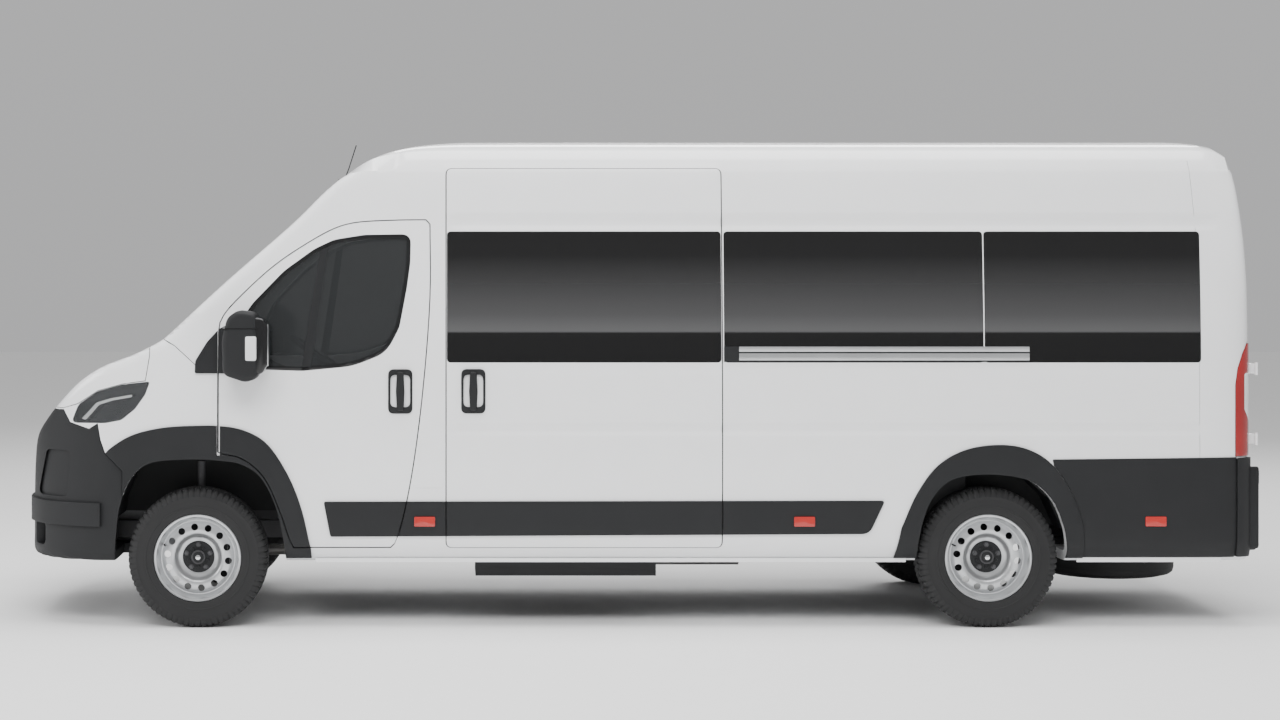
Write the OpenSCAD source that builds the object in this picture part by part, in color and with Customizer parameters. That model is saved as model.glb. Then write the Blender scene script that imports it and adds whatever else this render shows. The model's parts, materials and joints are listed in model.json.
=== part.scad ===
/* [Overall] */
// Distance between the front and rear axles
wheelbase = 4035; // [3000:1:4400]
// From the front axle to the nose
front_overhang = 948; // [900:1:1100]
// From the rear axle to the back of the bumper
rear_overhang = 1400; // [1150:1:1700]
// Width of the body, without its mirrors
body_w = 2050; // [1700:1:2300]
// Height of the roof above the ground
body_h = 2500; // [2480:1:2950]
// Thickness of a side wall or a door
wall = 55; // [40:1:70]
// Thickness of the roof and of the nose panels
roof_t = 45; // [30:1:60]

/* [Wheels] */
// Outer radius of a tyre
tyre_r = 357; // [300:1:380]
// Width of a tyre
tyre_w = 215; // [175:1:240]
// Radius of a rim over its flanges
rim_r = 222; // [190:1:240]
// Distance between the middles of the two wheels on an axle
track = 1800; // [1700:1:1830]
// Radius of the stub shaft that a wheel turns on
stub_r = 35; // [25:1:45]
// Clearance round the stub shaft
bore_gap = 0.05; // [0.02:0.01:0.1]
// Number of round holes in a wheel disc
rim_holes = 14; // [8:1:16]
// Distance from the middle of a wheel in to its steering axis
kingpin_in = 135; // [120:1:150]

/* [Doors] */
// Gap round a door or lid that moves
gap = 6; // [5:1:10]
// Bottom of the front and sliding doors
door_low = 411; // [400:1:450]
// Front edge of the sliding door, behind the front axle
slide_front = 1268; // [1250:1:1350]
// Length of the sliding door
slide_len = 1408; // [1100:1:1600]
// Top of the sliding door
slide_top = 2345; // [2200:1:2350]
// Bottom of the rear doors
rear_low = 500; // [470:1:560]
// Half width of the rear door opening
rear_half = 900; // [700:1:910]

/* [Windows] */
// Bottom edge of the side windows
win_low = 1356; // [1250:1:1500]
// Top edge of the side windows
win_top = 2022; // [1850:1:2080]
// Thickness of the glass
glass_t = 8; // [5:1:12]
// Half width of the windscreen
screen_half = 790; // [650:1:820]

/* [Cabin] */
// Height of the floor's upper face
floor_z = 560; // [540:1:600]
// Thickness of the floor
floor_t = 60; // [40:1:70]
// Number of rows of passenger seats
rows = 4; // [1:1:4]
// Distance from one row to the next
row_pitch = 780; // [700:1:780]
// Width of a double seat
bench_w = 860; // [700:1:870]

/* [Fixings] */
// Radius of the threaded roof rack holes
rack_r = 4; // [3:0.5:6]
// Length of the rack hole pattern
rack_len = 3000; // [2000:1:3200]
// Width of the rack hole pattern
rack_w = 1200; // [900:1:1300]
// Radius of the tow bar holes
tow_r = 7; // [5:0.5:9]
// Width of the tow bar hole pattern
tow_w = 600; // [400:1:700]
// Height of the tow bar hole pattern
tow_h = 50; // [30:1:55]
// Radius of the towing eye's threaded socket
eye_r = 9; // [7:1:12]

/* [Hidden] */
$fn = 48;
white = "whitesmoke";
black = "dimgray";
glass = "darkslategray";

// The frame's origin is midway along the body, on the ground, so the front axle is at x_fa
body_len = front_overhang + wheelbase + rear_overhang;
x_fa = body_len / 2 - front_overhang;
x_back = -wheelbase - rear_overhang;
// The rear doors' outer face, just ahead of the back of the bumper
x_door = x_back + 30;
half = body_w / 2;
far = 8000;
roof_seam = slide_top + 40;
rear_top = body_h - 165;
rack_x = -3200;

// Outlines are in the frame of the front axle: x ahead of it, z above the ground.
// Nose, bonnet, windscreen, roof and rear doors, seen from the side
nose_x = front_overhang;
function nose(t) = [
    [nose_x - t, 200], [nose_x - t, 560], [nose_x - 10 - t, 760], [nose_x - 46 - t, 930],
    [nose_x - 148 - 0.9 * t, 1035 - 0.3 * t], [nose_x - 248 - 0.8 * t, 1160 - 0.6 * t],
    [nose_x - 330 - 0.6 * t, 1250 - 0.8 * t], [nose_x - 430 - 0.5 * t, 1318 - 0.9 * t],
    [324 - 0.4 * t, 1396 - 0.9 * t], [194 - 0.6 * t, 1459 - 0.8 * t]];
function screen_line(t) = [
    [-140 - 0.67 * t, 1767 - 0.74 * t], [-499 - 0.68 * t, 2082 - 0.73 * t],
    [-640 - 0.7 * t, 2222 - 0.7 * t]];
function roof_line(t) = [
    [-760 - 0.6 * t, 2320 - 0.8 * t], [-900 - 0.4 * t, body_h - 84 - 0.9 * t],
    [-1060 - 0.2 * t, body_h - 32 - t], [-1254, body_h - t], [x_back + 350, body_h - t],
    [x_back + 230 + 0.3 * t, body_h - 18 - t], [x_back + 150 + 0.7 * t, body_h - 85 - 0.7 * t]];
function rear_line(t) = [
    [x_back + 118 + t, body_h - 270], [x_back + 78 + t, body_h - 480],
    [x_back + 45 + t, body_h - 710], [x_door + t, body_h - 970],
    [x_door + t, 1300], [x_door + 8 + t, 870], [x_door + 12 + t, 200]];
function profile(t) = concat(nose(t), screen_line(t), roof_line(t), rear_line(t));

// Half of the cross-section, y across and z up
function section(t, top, low) = [
    [half - 65 - t, low], [half - 25 - t, 420], [half - 10 - t, 480], [half - 1 - t, 700],
    [half - t, 900], [half - 4 - t, 1200], [half - 14 - t, 1500], [half - 34 - t, 1800],
    [half - 55 - t, 2060], [half - 82 - t, body_h - 180 - top / 3],
    [half - 98 - t, body_h - 125 - top / 2], [half - 128 - t, body_h - 85 - 0.7 * top],
    [half - 180 - t, body_h - 53 - top], [half - 300 - t, body_h - 30 - top],
    [half - 550 - t, body_h - top]];
// Half of the plan, x ahead and y across
function plan(t) = [
    [nose_x - t, 180], [nose_x - 20 - t, 400], [nose_x - 66 - 0.9 * t, 590 - 0.2 * t],
    [nose_x - 135 - 0.8 * t, half - 280 - 0.5 * t], [nose_x - 225 - 0.6 * t, half - 180 - 0.8 * t],
    [nose_x - 330 - 0.4 * t, half - 105 - 0.9 * t], [nose_x - 480 - 0.2 * t, half - 48 - t],
    [nose_x - 700, half - 15 - t], [nose_x - 1000, half - t], [x_back + 700, half - t],
    [x_back + 200, half - 15 - t], [x_back + 100, half - 35 - t],
    [x_door + 22 + t, half - 90 - 0.6 * t], [x_door + 6 + t, half - 160 - 0.3 * t],
    [x_door + t, 600]];
function mirrored(p) = concat(p, [for (i = [len(p) - 1 : -1 : 0]) [-p[i][0], p[i][1]]]);
function mirrored_y(p) = concat(p, [for (i = [len(p) - 1 : -1 : 0]) [p[i][0], -p[i][1]]]);

// Front door and its glass
door_front = -108;
door_line = [[door_front, 898], [door_front, 1546], [-142, 1607], [-235, 1708], [-390, 1848],
    [-544, 1954], [-698, 2039], [-800, 2068], [-1005, 2081], [-slide_front + 75, 2083],
    [-slide_front + 80, 1686], [-slide_front + 122, 1176], [-slide_front + 177, 769],
    [-slide_front + 232, 514], [-slide_front + 274, door_low], [-480, door_low],
    [-469, 460], [-425, 590], [-336, 778], [-225, 876]];
door_glass_line = [[-160, 1330], [-265, 1640], [-441, 1820], [-595, 1930], [-697, 1980],
    [-851, 2006], [-1029, 2008], [-1085, 1970], [-1084, 1865], [-1067, 1738], [-1029, 1535],
    [-965, 1415], [-791, 1340], [-536, 1315]];
// Wheel arches, about their own axles
front_arch = [[430, 200], [430, 420], [405, 630], [345, 780], [240, 846], [81, 862],
    [-102, 858], [-224, 841], [-320, 775], [-404, 624], [-446, 445], [-455, 200]];
rear_arch = [[363, 200], [363, 406], [341, 533], [294, 660], [216, 746], [114, 780],
    [-65, 784], [-217, 750], [-318, 657], [-378, 524], [-405, 400], [-405, 200]];
// Headlamp, and the edge of the bonnet above it
lamp_line = [[nose_x - 290, 1050], [nose_x - 320, 1138], [nose_x - 437, 1207],
    [nose_x - 565, 1241], [nose_x - 703, 1254], [nose_x - 666, 1183], [nose_x - 563, 1103],
    [nose_x - 435, 1054]];
bonnet_x = nose_x - 700;
bonnet_edge = [[bonnet_x, 1700], [bonnet_x, 1387], [bonnet_x + 18, 1258], [nose_x - 565, 1246],
    [nose_x - 437, 1212], [nose_x - 318, 1143], [nose_x - 250, 1120], [nose_x, 1120],
    [nose_x, 1700]];
bumper_line = [[nose_x + 50, 150], [nose_x + 50, 1114], [nose_x - 252, 1114],
    [nose_x - 286, 1044], [nose_x - 430, 1044], [479, 895], [452, 790], [452, 150]];

front_y = track / 2;
tyre_in = front_y - tyre_w / 2;
kingpin_y = front_y - kingpin_in;
tail_low = 870;
tail_high = 1446;

// An outline in x and z, as wide as the body, or on one side from y0 to y1
module across(p, y0 = -2000, y1 = 2000) {
    translate([0, y1, 0]) rotate([90, 0, 0]) linear_extrude(y1 - y0) polygon(p);
}
// The same, grown all round by d
module across_grown(p, d, y0 = -2000, y1 = 2000) {
    translate([0, y1, 0]) rotate([90, 0, 0]) linear_extrude(y1 - y0) offset(delta = d) polygon(p);
}
module slab(x0, x1, y0, y1, z0, z1) {
    translate([x0, y0, z0]) cube([x1 - x0, y1 - y0, z1 - z0]);
}
// A cylinder along y
module pin_y(x, z, r, y0, y1) {
    translate([x, y1, z]) rotate([90, 0, 0]) cylinder(h = y1 - y0, r = r);
}
module at_axle() translate([x_fa, 0, 0]) children();
module right() mirror([0, 1, 0]) children();
module both() {
    children();
    right() children();
}
// The body as one block, drawn in by t at the nose and rear and by side_t at the sides
module block(t, side_t, low) {
    intersection() {
        across(profile(t));
        rotate([90, 0, 90]) translate([0, 0, -far]) linear_extrude(2 * far)
            polygon(mirrored(section(side_t, t, low)));
        linear_extrude(body_h + 100) polygon(mirrored_y(plan(t)));
    }
}
module skin() {
    difference() {
        block(0, 0, 340);
        block(roof_t, wall, 250);
    }
}
module screen_zone(t) {
    inner = screen_line(t);
    across(concat([[194, 1459]], screen_line(0), [inner[2], inner[1], inner[0]],
        [[194 - 0.6 * t, 1459 - 0.8 * t]]), -screen_half, screen_half);
}
// The windscreen's opening cuts a little past both faces of the skin
module screen_hole() {
    across([[194 + 44, 1459 + 40], [-640 + 40, 2222 + 40], [-640, 2222],
        [-640 - 60, 2222 - 60], [194 - 48, 1459 - 64]], -screen_half, screen_half);
}
module roof_zone() {
    across([[-640, 2222], [-560, body_h + 200], [x_back - 100, body_h + 200],
        [x_back - 100, rear_top + gap], [x_back + 240, rear_top + gap],
        [x_back + 240, roof_seam], [-1000, roof_seam], [-700, 2162]]);
}
// The lip between the wheel arch and the door stays on the wing
module lip_zone() slab(-440, door_front + gap, -2000, 2000, 625, 900);
module nose_zone() slab(door_front + gap, nose_x + 200, -2000, 2000, 0, 1700);
module rear_zone(d, y0, y1) {
    across([[x_back - 100, rear_low - d], [x_door + roof_t + 12 + d / 20, rear_low - d],
        [x_door + roof_t + 8, 870], [x_door + roof_t, 1300], [x_door + roof_t, body_h - 970],
        [x_back + 45 + roof_t, body_h - 710], [x_back + 78 + roof_t, body_h - 480],
        [x_back + 118 + roof_t, body_h - 270],
        [x_back + 134 + roof_t + d / 5, rear_top + d], [x_back - 100, rear_top + d]], y0, y1);
}
module arches() {
    both() across(front_arch, 560, 2000);
    both() translate([-wheelbase, 0, 0]) across(rear_arch, tyre_in - 60, 2000);
}
win_gap = 10;
slide_back = -slide_front - slide_len;
win_end = x_back + 320;
win_split = (slide_back + win_end) / 2 - 60;
module window(x0, x1, y0, y1) slab(x1, x0, y0, y1, win_low, win_top);
module rear_windows(y0, y1) {
    window(slide_back - win_gap, win_split + win_gap / 2, y0, y1);
    window(win_split - win_gap / 2, win_end, y0, y1);
}
module slide_zone(d) {
    slab(slide_back - d, -slide_front + d, 600, 2000, door_low - d, slide_top + d);
}
module slide_window() window(-slide_front - 10, slide_back + 10, 600, 2000);
module tail_zone() slab(x_back - 50, x_back + 130, rear_half + gap + 4, 2000, tail_low, tail_high);
module outer_shell(t) {
    difference() {
        block(0, 0, 340);
        block(t, t, 250);
    }
}

module side_shell() {
    difference() {
        intersection() {
            skin();
            slab(x_back - 50, door_front - gap / 2, 600, 2000, 0, body_h);
        }
        roof_zone();
        screen_hole();
        across_grown(door_line, gap, 600, 2000);
        translate([-wheelbase, 0, 0]) across(rear_arch, 600, 2000);
        across(front_arch, 600, 2000);
        lip_zone();
        rear_zone(gap, 0, rear_half + gap);
        tail_zone();
        rear_windows(600, 2000);
    }
}
module left_side() {
    color(white) at_axle() difference() {
        side_shell();
        slide_zone(4);
    }
}
module right_side() {
    color(white) at_axle() right() difference() {
        side_shell();
        slide_window();
    }
}
module roof() {
    color(white) at_axle() difference() {
        intersection() {
            skin();
            roof_zone();
        }
        screen_hole();
        rear_zone(gap, -rear_half - gap, rear_half + gap);
        for (x = [-1, 1], y = [-1, 1])
            translate([rack_x + x * rack_len / 2, y * rack_w / 2, body_h - 60])
                cylinder(h = 100, r = rack_r);
    }
}
module cowl() {
    color(black) at_axle() difference() {
        intersection() {
            skin();
            slab(-200, bonnet_x - gap, -screen_half, screen_half, 1200, 1700);
        }
        screen_hole();
        bonnet_cut();
    }
}
module bonnet_cut() across_grown(bonnet_edge, gap);
module front_wings() {
    color(white) at_axle() difference() {
        intersection() {
            skin();
            union() {
                nose_zone();
                lip_zone();
            }
        }
        both() across_grown(door_line, gap, 600, 2000);
        slab(-500, nose_x + 100, -screen_half, screen_half, 0, 1700);
        bonnet_cut();
        across(bumper_line);
        across_grown(lamp_line, 2);
        arches();
    }
}
module bonnet() {
    color(white) at_axle() intersection() {
        skin();
        across(bonnet_edge);
    }
}
module front_bumper() {
    color(black) at_axle() difference() {
        intersection() {
            skin();
            across(bumper_line);
            slab(0, nose_x + 50, -2000, 2000, 230, 2000);
        }
        bonnet_cut();
        arches();
        slab(nose_x - 200, nose_x + 50, -intake_w / 2, intake_w / 2, 400, 600);
    }
}
module headlamps() {
    color("lightgray") at_axle() both() difference() {
        intersection() {
            skin();
            across(lamp_line, screen_half - 240, 2000);
        }
        bonnet_cut();
    }
}
module windscreen() {
    color(glass) at_axle() intersection() {
        block(0, 0, 340);
        screen_zone(glass_t);
    }
}

module front_door_l() {
    difference() {
        intersection() {
            skin();
            across(door_line, 600, 2000);
        }
        across(door_glass_line, 600, 2000);
        across(front_arch, 600, 2000);
    }
}
module left_front_door() color(white) at_axle() front_door_l();
module right_front_door() color(white) at_axle() right() front_door_l();
module door_glass_l() {
    intersection() {
        outer_shell(glass_t);
        across(door_glass_line, 600, 2000);
    }
}
module left_door_glass() color(glass) at_axle() door_glass_l();
module right_door_glass() color(glass) at_axle() right() door_glass_l();

// Mirror: a foot on the door, an arm and a tall head
mirror_reach = 229;
mirror_head = [[-165, 1290], [-150, 1340], [-185, 1560], [-215, 1615], [-340, 1620],
    [-365, 1590], [-372, 1330], [-350, 1275], [-250, 1262]];
module mirror_l() {
    difference() {
        union() {
            across(mirror_head, half + 50, half + mirror_reach);
            slab(-330, -200, half - 30, half + 60, 1390, 1470);
        }
        block(0, 0, 340);
    }
}
module left_mirror() color(black) at_axle() mirror_l();
module right_mirror() color(black) at_axle() right() mirror_l();

module sliding_door() {
    color(white) at_axle() difference() {
        intersection() {
            skin();
            slide_zone(0);
        }
        slide_window();
    }
}
module sliding_door_glass() {
    color(glass) at_axle() intersection() {
        outer_shell(glass_t);
        slide_window();
    }
}
module side_glass() {
    color(glass) at_axle() intersection() {
        outer_shell(glass_t);
        union() {
            both() rear_windows(600, 2000);
            right() slide_window();
        }
    }
}

rear_glass_low = 1400;
rear_glass_top = 2020;
hinge_x = x_back + 10;
hinge_y = rear_half + 5;
hinge_r = 8;
module rear_door_l() {
    difference() {
        intersection() {
            skin();
            rear_zone(0, gap / 2, rear_half);
        }
        rear_glass_zone();
    }
    for (z = [930, 1290]) {
        translate([hinge_x, hinge_y, z]) cylinder(h = 60, r = hinge_r);
        slab(hinge_x - 4, x_door + 15, rear_half - 50, rear_half, z, z + 60);
    }
}
module rear_glass_zone() {
    slab(x_back - 50, x_back + 300, 110, rear_half - 100, rear_glass_low, rear_glass_top);
}
module rear_glass_l() {
    intersection() {
        outer_shell(glass_t);
        rear_glass_zone();
    }
}
module left_rear_door() color(white) at_axle() rear_door_l();
module right_rear_door() color(white) at_axle() right() rear_door_l();
module left_rear_glass() color(glass) at_axle() rear_glass_l();
module right_rear_glass() color(glass) at_axle() right() rear_glass_l();

// Rear bumper: a step below the doors and a cap under each corner
step_top = rear_low - gap - 10;
module rear_bumper() {
    color(black) at_axle() difference() {
        union() {
            slab(x_back, x_door + 20, -rear_half - 10, rear_half + 10, 385, step_top);
            both() slab(x_back + 4, x_door + 20, rear_half + 10, half - 60, 385, 838);
        }
        block(0, 0, 340);
    }
}
module tail_lamps() {
    color("firebrick") at_axle() both() intersection() {
        skin();
        tail_zone();
    }
}

// Floor, and the ladder frame of two long rails and the members across them
rail_y = 430;
rail_w = 80;
floor_front = -520;
rail_low = 412;
pad_x = -2000;
pad_t = 10;
rail_back = x_back + 130;
module floor_plate() {
    color("gray") at_axle() difference() {
        intersection() {
            block(roof_t, wall, 250);
            slab(x_door + roof_t + 20, floor_front, -2000, 2000, floor_z - floor_t, floor_z);
        }
        both() translate([-wheelbase, 0, 0]) across_grown(rear_arch, liner_t, liner_in, 2000);
    }
}
module chassis_frame() {
    color("dimgray") at_axle() difference() {
        union() {
            both() slab(rail_back, 780, rail_y, rail_y + rail_w, rail_low, floor_z - floor_t);
            for (x = [rail_back, -3300, -1300])
                slab(x, x + 60, -rail_y, rail_y, rail_low, floor_z - floor_t);
            both() slab(pad_x - 80, pad_x + 80, rail_y + 5, rail_y + rail_w - 5,
                rail_low - pad_t, rail_low + 1);
        }
        for (y = [-1, 1], z = [-1, 1])
            translate([rail_back - 10, y * tow_w / 2, tow_z + z * tow_h / 2])
                rotate([0, 90, 0]) cylinder(h = 100, r = tow_r);
    }
}
module front_crossmember() {
    color("dimgray") at_axle() difference() {
        slab(720, 780, -rail_y, rail_y, rail_low, floor_z - floor_t);
        translate([700, eye_y, tow_z]) rotate([0, 90, 0]) cylinder(h = 100, r = eye_r);
    }
}
tow_z = (rail_low + floor_z - floor_t) / 2;
eye_y = -240;
intake_w = 600;
liner_t = 12;
liner_in = tyre_in - 72;
front_liner_in = 560;
module liner(p, y0, low) {
    difference() {
        intersection() {
            across_grown(p, liner_t, y0, 2000);
            block(roof_t, wall, 250);
            slab(-far, far, -2000, 2000, low, 2000);
        }
        across(p, y0 + liner_t, 2000);
    }
}
module wheel_liners() {
    color(black) at_axle() both() {
        difference() {
            liner(front_arch, front_liner_in, 560);
            slab(bumper_line[5][0] - 30, 2000, 0, 2000, 0, 2000);
            across_grown(door_line, gap, 600, 2000);
        }
        translate([-wheelbase, 0, 0]) rear_liner();
    }
}
module rear_liner() {
    difference() {
        across_grown(rear_arch, liner_t, liner_in, half - wall - 30);
        across(rear_arch, liner_in + liner_t, 2000);
        slab(-far, far, 0, 2000, 0, floor_z - floor_t);
    }
}
module bulkhead() {
    color("gray") at_axle() difference() {
        intersection() {
            block(roof_t, wall, 250);
            slab(40, 80, -870, 870, 500, 1440);
        }
        both() across_grown(front_arch, liner_t, front_liner_in, 2000);
        both() slab(0, 200, rail_y, rail_y + rail_w, 0, floor_z - floor_t);
    }
}
module engine() {
    color("silver") at_axle() slab(140, 560, -390, 390, 345, 1120);
}
module fuel_tank() {
    color(black) at_axle() slab(-2350, -1420, rail_y + rail_w + 20, half - 170, 250,
        floor_z - floor_t);
}
pipe_y = -300;
pipe_z = 260;
pipe_end = -wheelbase + 400;
module exhaust() {
    color("darkgray") at_axle() {
        translate([pipe_end, pipe_y, pipe_z]) rotate([0, 90, 0])
            cylinder(h = -250 - pipe_end, r = 30);
        translate([-2900, pipe_y, pipe_z]) rotate([0, 90, 0]) cylinder(h = 700, r = 85);
    }
}

// Cabin fittings
module dashboard() {
    color(black) at_axle() union() {
        across([[40, 900], [40, 1380], [-120, 1370], [-330, 1260], [-360, 1120], [-300, 960]],
            -880, 880);
        translate(wheel_at) rotate([0, column_tilt, 0]) translate([0, 0, -330])
            cylinder(h = 305, r = 35);
    }
}
wheel_at = [-560, -440, 1330];
column_tilt = -35;
hand_r = 190;
module steering_wheel() {
    color("black") at_axle() translate(wheel_at) rotate([0, column_tilt, 0]) union() {
        rotate_extrude() translate([hand_r, 0]) circle(16);
        cylinder(h = 40, r = 60, center = true);
        for (a = [0, 120, 240]) rotate([0, 0, a]) translate([50, -18, -8])
            cube([hand_r - 50, 36, 16]);
    }
}
// A cushion on its plinth and a back, in side view, with the cushion's front edge at x = 0
cushion_line = [[0, 900], [-20, 980], [-445, 962], [-500, 870], [-400, floor_z], [-90, floor_z]];
back_line = [[-445, 962], [-566, 1620], [-646, 1620], [-575, 905], [-500, 870]];
module bench_backs(x, y, w, n) {
    for (i = [0 : n - 1])
        translate([x, 0, 0]) across(back_line, y - w / 2 + i * w / n + 8,
            y - w / 2 + (i + 1) * w / n - 8);
}
module bench_cushion(x, y, w) translate([x, 0, 0]) across(cushion_line, y - w / 2, y + w / 2);
row_front = -1980;
bench_y = half - wall - 65 - bench_w / 2;
single_w = bench_w / 2;
single_y = half - wall - 65 - single_w / 2;
cab_x = -690;
// Two seats a row on the side away from the sliding door, and one behind it
module seat_cushions() {
    color(black) at_axle() difference() {
        union() {
            bench_cushion(cab_x, -440, 480);
            bench_cushion(cab_x, 400, 840);
            for (i = [0 : 1 : rows - 1])
                bench_cushion(row_front - i * row_pitch, -bench_y, bench_w);
            for (i = [1 : 1 : rows - 1])
                bench_cushion(row_front - i * row_pitch, single_y, single_w);
        }
        both() translate([-wheelbase, 0, 0])
            across_grown(rear_arch, liner_t + gap, liner_in - gap, 2000);
    }
}
module seat_backs() {
    color(black) at_axle() {
        bench_backs(cab_x, -440, 480, 1);
        bench_backs(cab_x, 400, 840, 2);
        for (i = [0 : 1 : rows - 1]) bench_backs(row_front - i * row_pitch, -bench_y, bench_w, 2);
        for (i = [1 : 1 : rows - 1]) bench_backs(row_front - i * row_pitch, single_y, single_w, 1);
    }
}

// Front: a cross member with an arm to each side, and knuckles that turn above the arms
arm_z = 235;
module front_subframe() {
    color("dimgray") at_axle() union() {
        slab(-120, 160, -rail_y - 70, rail_y + 70, 250, 330);
        both() slab(-110, -30, rail_y + 5, rail_y + 65, 329, rail_low);
        both() slab(-45, 45, rail_y, kingpin_y + 10, arm_z - 20, arm_z + 20);
    }
}
knuckle_low = arm_z + 20 + gap;
module knuckle_at_left() {
    union() {
        slab(-50, 50, kingpin_y - 30, tyre_in - 12, knuckle_low, 640);
        translate([0, kingpin_y, 600]) cylinder(h = 235, r = 20);
        pin_y(0, tyre_r, 90, tyre_in - 12, front_y + 15);
        pin_y(0, tyre_r, stub_r, front_y, front_y + 60);
    }
}
module left_knuckle() color("dimgray") at_axle() knuckle_at_left();
module right_knuckle() color("dimgray") at_axle() right() knuckle_at_left();

spring_y = rail_y + rail_w + 55;
module rear_axle() {
    color("dimgray") at_axle() translate([-wheelbase, 0, 0]) union() {
        pin_y(0, tyre_r, 45, -front_y + 20, front_y - 20);
        both() {
            pin_y(0, tyre_r, 90, front_y - 90, front_y + 15);
            pin_y(0, tyre_r, stub_r, front_y, front_y + 60);
            slab(-650, 650, spring_y - 35, spring_y + 35, 395, 420);
            for (x = [-650, 610]) slab(x, x + 40, spring_y - 35, spring_y + 35, 395,
                floor_z - floor_t);
            slab(-60, 60, spring_y - 35, spring_y + 35, tyre_r, 396);
        }
    }
}

// A wheel on the left, its middle at the origin and its axis along y
disc_y = 28;
hole_ring = 158;
hole_r = 17;
module rim() {
    bead = rim_r - 24;
    bore = stub_r + bore_gap;
    difference() {
        rotate([-90, 0, 0]) rotate_extrude() polygon([
            [bore, disc_y - 10], [bore, disc_y + 12], [95, disc_y + 12], [120, disc_y + 34],
            [150, disc_y + 36], [bead - 8, disc_y + 10], [bead - 8, tyre_w / 2 - 14],
            [rim_r - 4, tyre_w / 2 - 6], [rim_r, tyre_w / 2 - 8], [rim_r, tyre_w / 2 - 18],
            [bead, tyre_w / 2 - 26], [bead, 18 - tyre_w / 2], [rim_r, 14 - tyre_w / 2],
            [rim_r, 6 - tyre_w / 2], [bead - 10, 8 - tyre_w / 2], [bead - 10, disc_y - 4],
            [150, disc_y + 24], [120, disc_y + 22], [100, disc_y - 10]]);
        for (i = [0 : rim_holes - 1]) rotate([0, i * 360 / rim_holes, 0])
            translate([hole_ring, 0, 0]) rotate([-90, 0, 0]) cylinder(h = 120, r = hole_r);
    }
}
module tyre() {
    bead = rim_r - 24;
    lip = tyre_w / 2;
    rotate([-90, 0, 0]) rotate_extrude($fn = 96) polygon([
        [bead, 18 - lip], [rim_r, 14.5 - lip], [rim_r + 2, 6 - lip], [rim_r + 45, -lip],
        [tyre_r - 60, -lip + 4], [tyre_r - 22, -lip + 14], [tyre_r - 6, -lip + 26],
        [tyre_r, -lip + 50], [tyre_r, lip - 50], [tyre_r - 6, lip - 26],
        [tyre_r - 22, lip - 14], [tyre_r - 60, lip - 4], [rim_r + 45, lip],
        [rim_r + 2, lip - 6], [rim_r, lip - 18.5], [bead, lip - 26]]);
}
module wheel_at_corner(x, side) {
    at_axle() translate([x, side * front_y, tyre_r])
        if (side > 0) children();
        else right() children();
}
module front_left_rim() color("silver") wheel_at_corner(0, 1) rim();
module front_left_tyre() color("black") wheel_at_corner(0, 1) tyre();
module front_right_rim() color("silver") wheel_at_corner(0, -1) rim();
module front_right_tyre() color("black") wheel_at_corner(0, -1) tyre();
module rear_left_rim() color("silver") wheel_at_corner(-wheelbase, 1) rim();
module rear_left_tyre() color("black") wheel_at_corner(-wheelbase, 1) tyre();
module rear_right_rim() color("silver") wheel_at_corner(-wheelbase, -1) rim();
module rear_right_tyre() color("black") wheel_at_corner(-wheelbase, -1) tyre();
module spare_wheel() {
    color("black") at_axle() translate([-wheelbase - 850, 0, 270]) union() {
        rotate([90, 0, 0]) tyre();
        cylinder(h = 20, r = rim_r, center = true);
    }
}

floor_plate();  // floor
chassis_frame();
front_crossmember();
wheel_liners();
bulkhead();
left_side();
right_side();
roof();
cowl();
front_wings();
bonnet();
front_bumper();
headlamps();
windscreen();
left_front_door();
right_front_door();
left_door_glass();
right_door_glass();
left_mirror();
right_mirror();
sliding_door();
sliding_door_glass();
side_glass();
left_rear_door();
right_rear_door();
left_rear_glass();
right_rear_glass();
rear_bumper();
tail_lamps();
dashboard();
steering_wheel();
seat_cushions();
seat_backs();
engine();
front_subframe();
left_knuckle();
right_knuckle();
rear_axle();
fuel_tank();
exhaust();
spare_wheel();
front_left_rim();
front_left_tyre();
front_right_rim();
front_right_tyre();
rear_left_rim();
rear_left_tyre();
rear_right_rim();
rear_right_tyre();
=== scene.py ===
"""The looks of a long, high-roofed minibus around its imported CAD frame. Metres, +X to the front."""
import json
import math

import bmesh
import bpy
import numpy as np
from mathutils import Matrix, Vector

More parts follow.
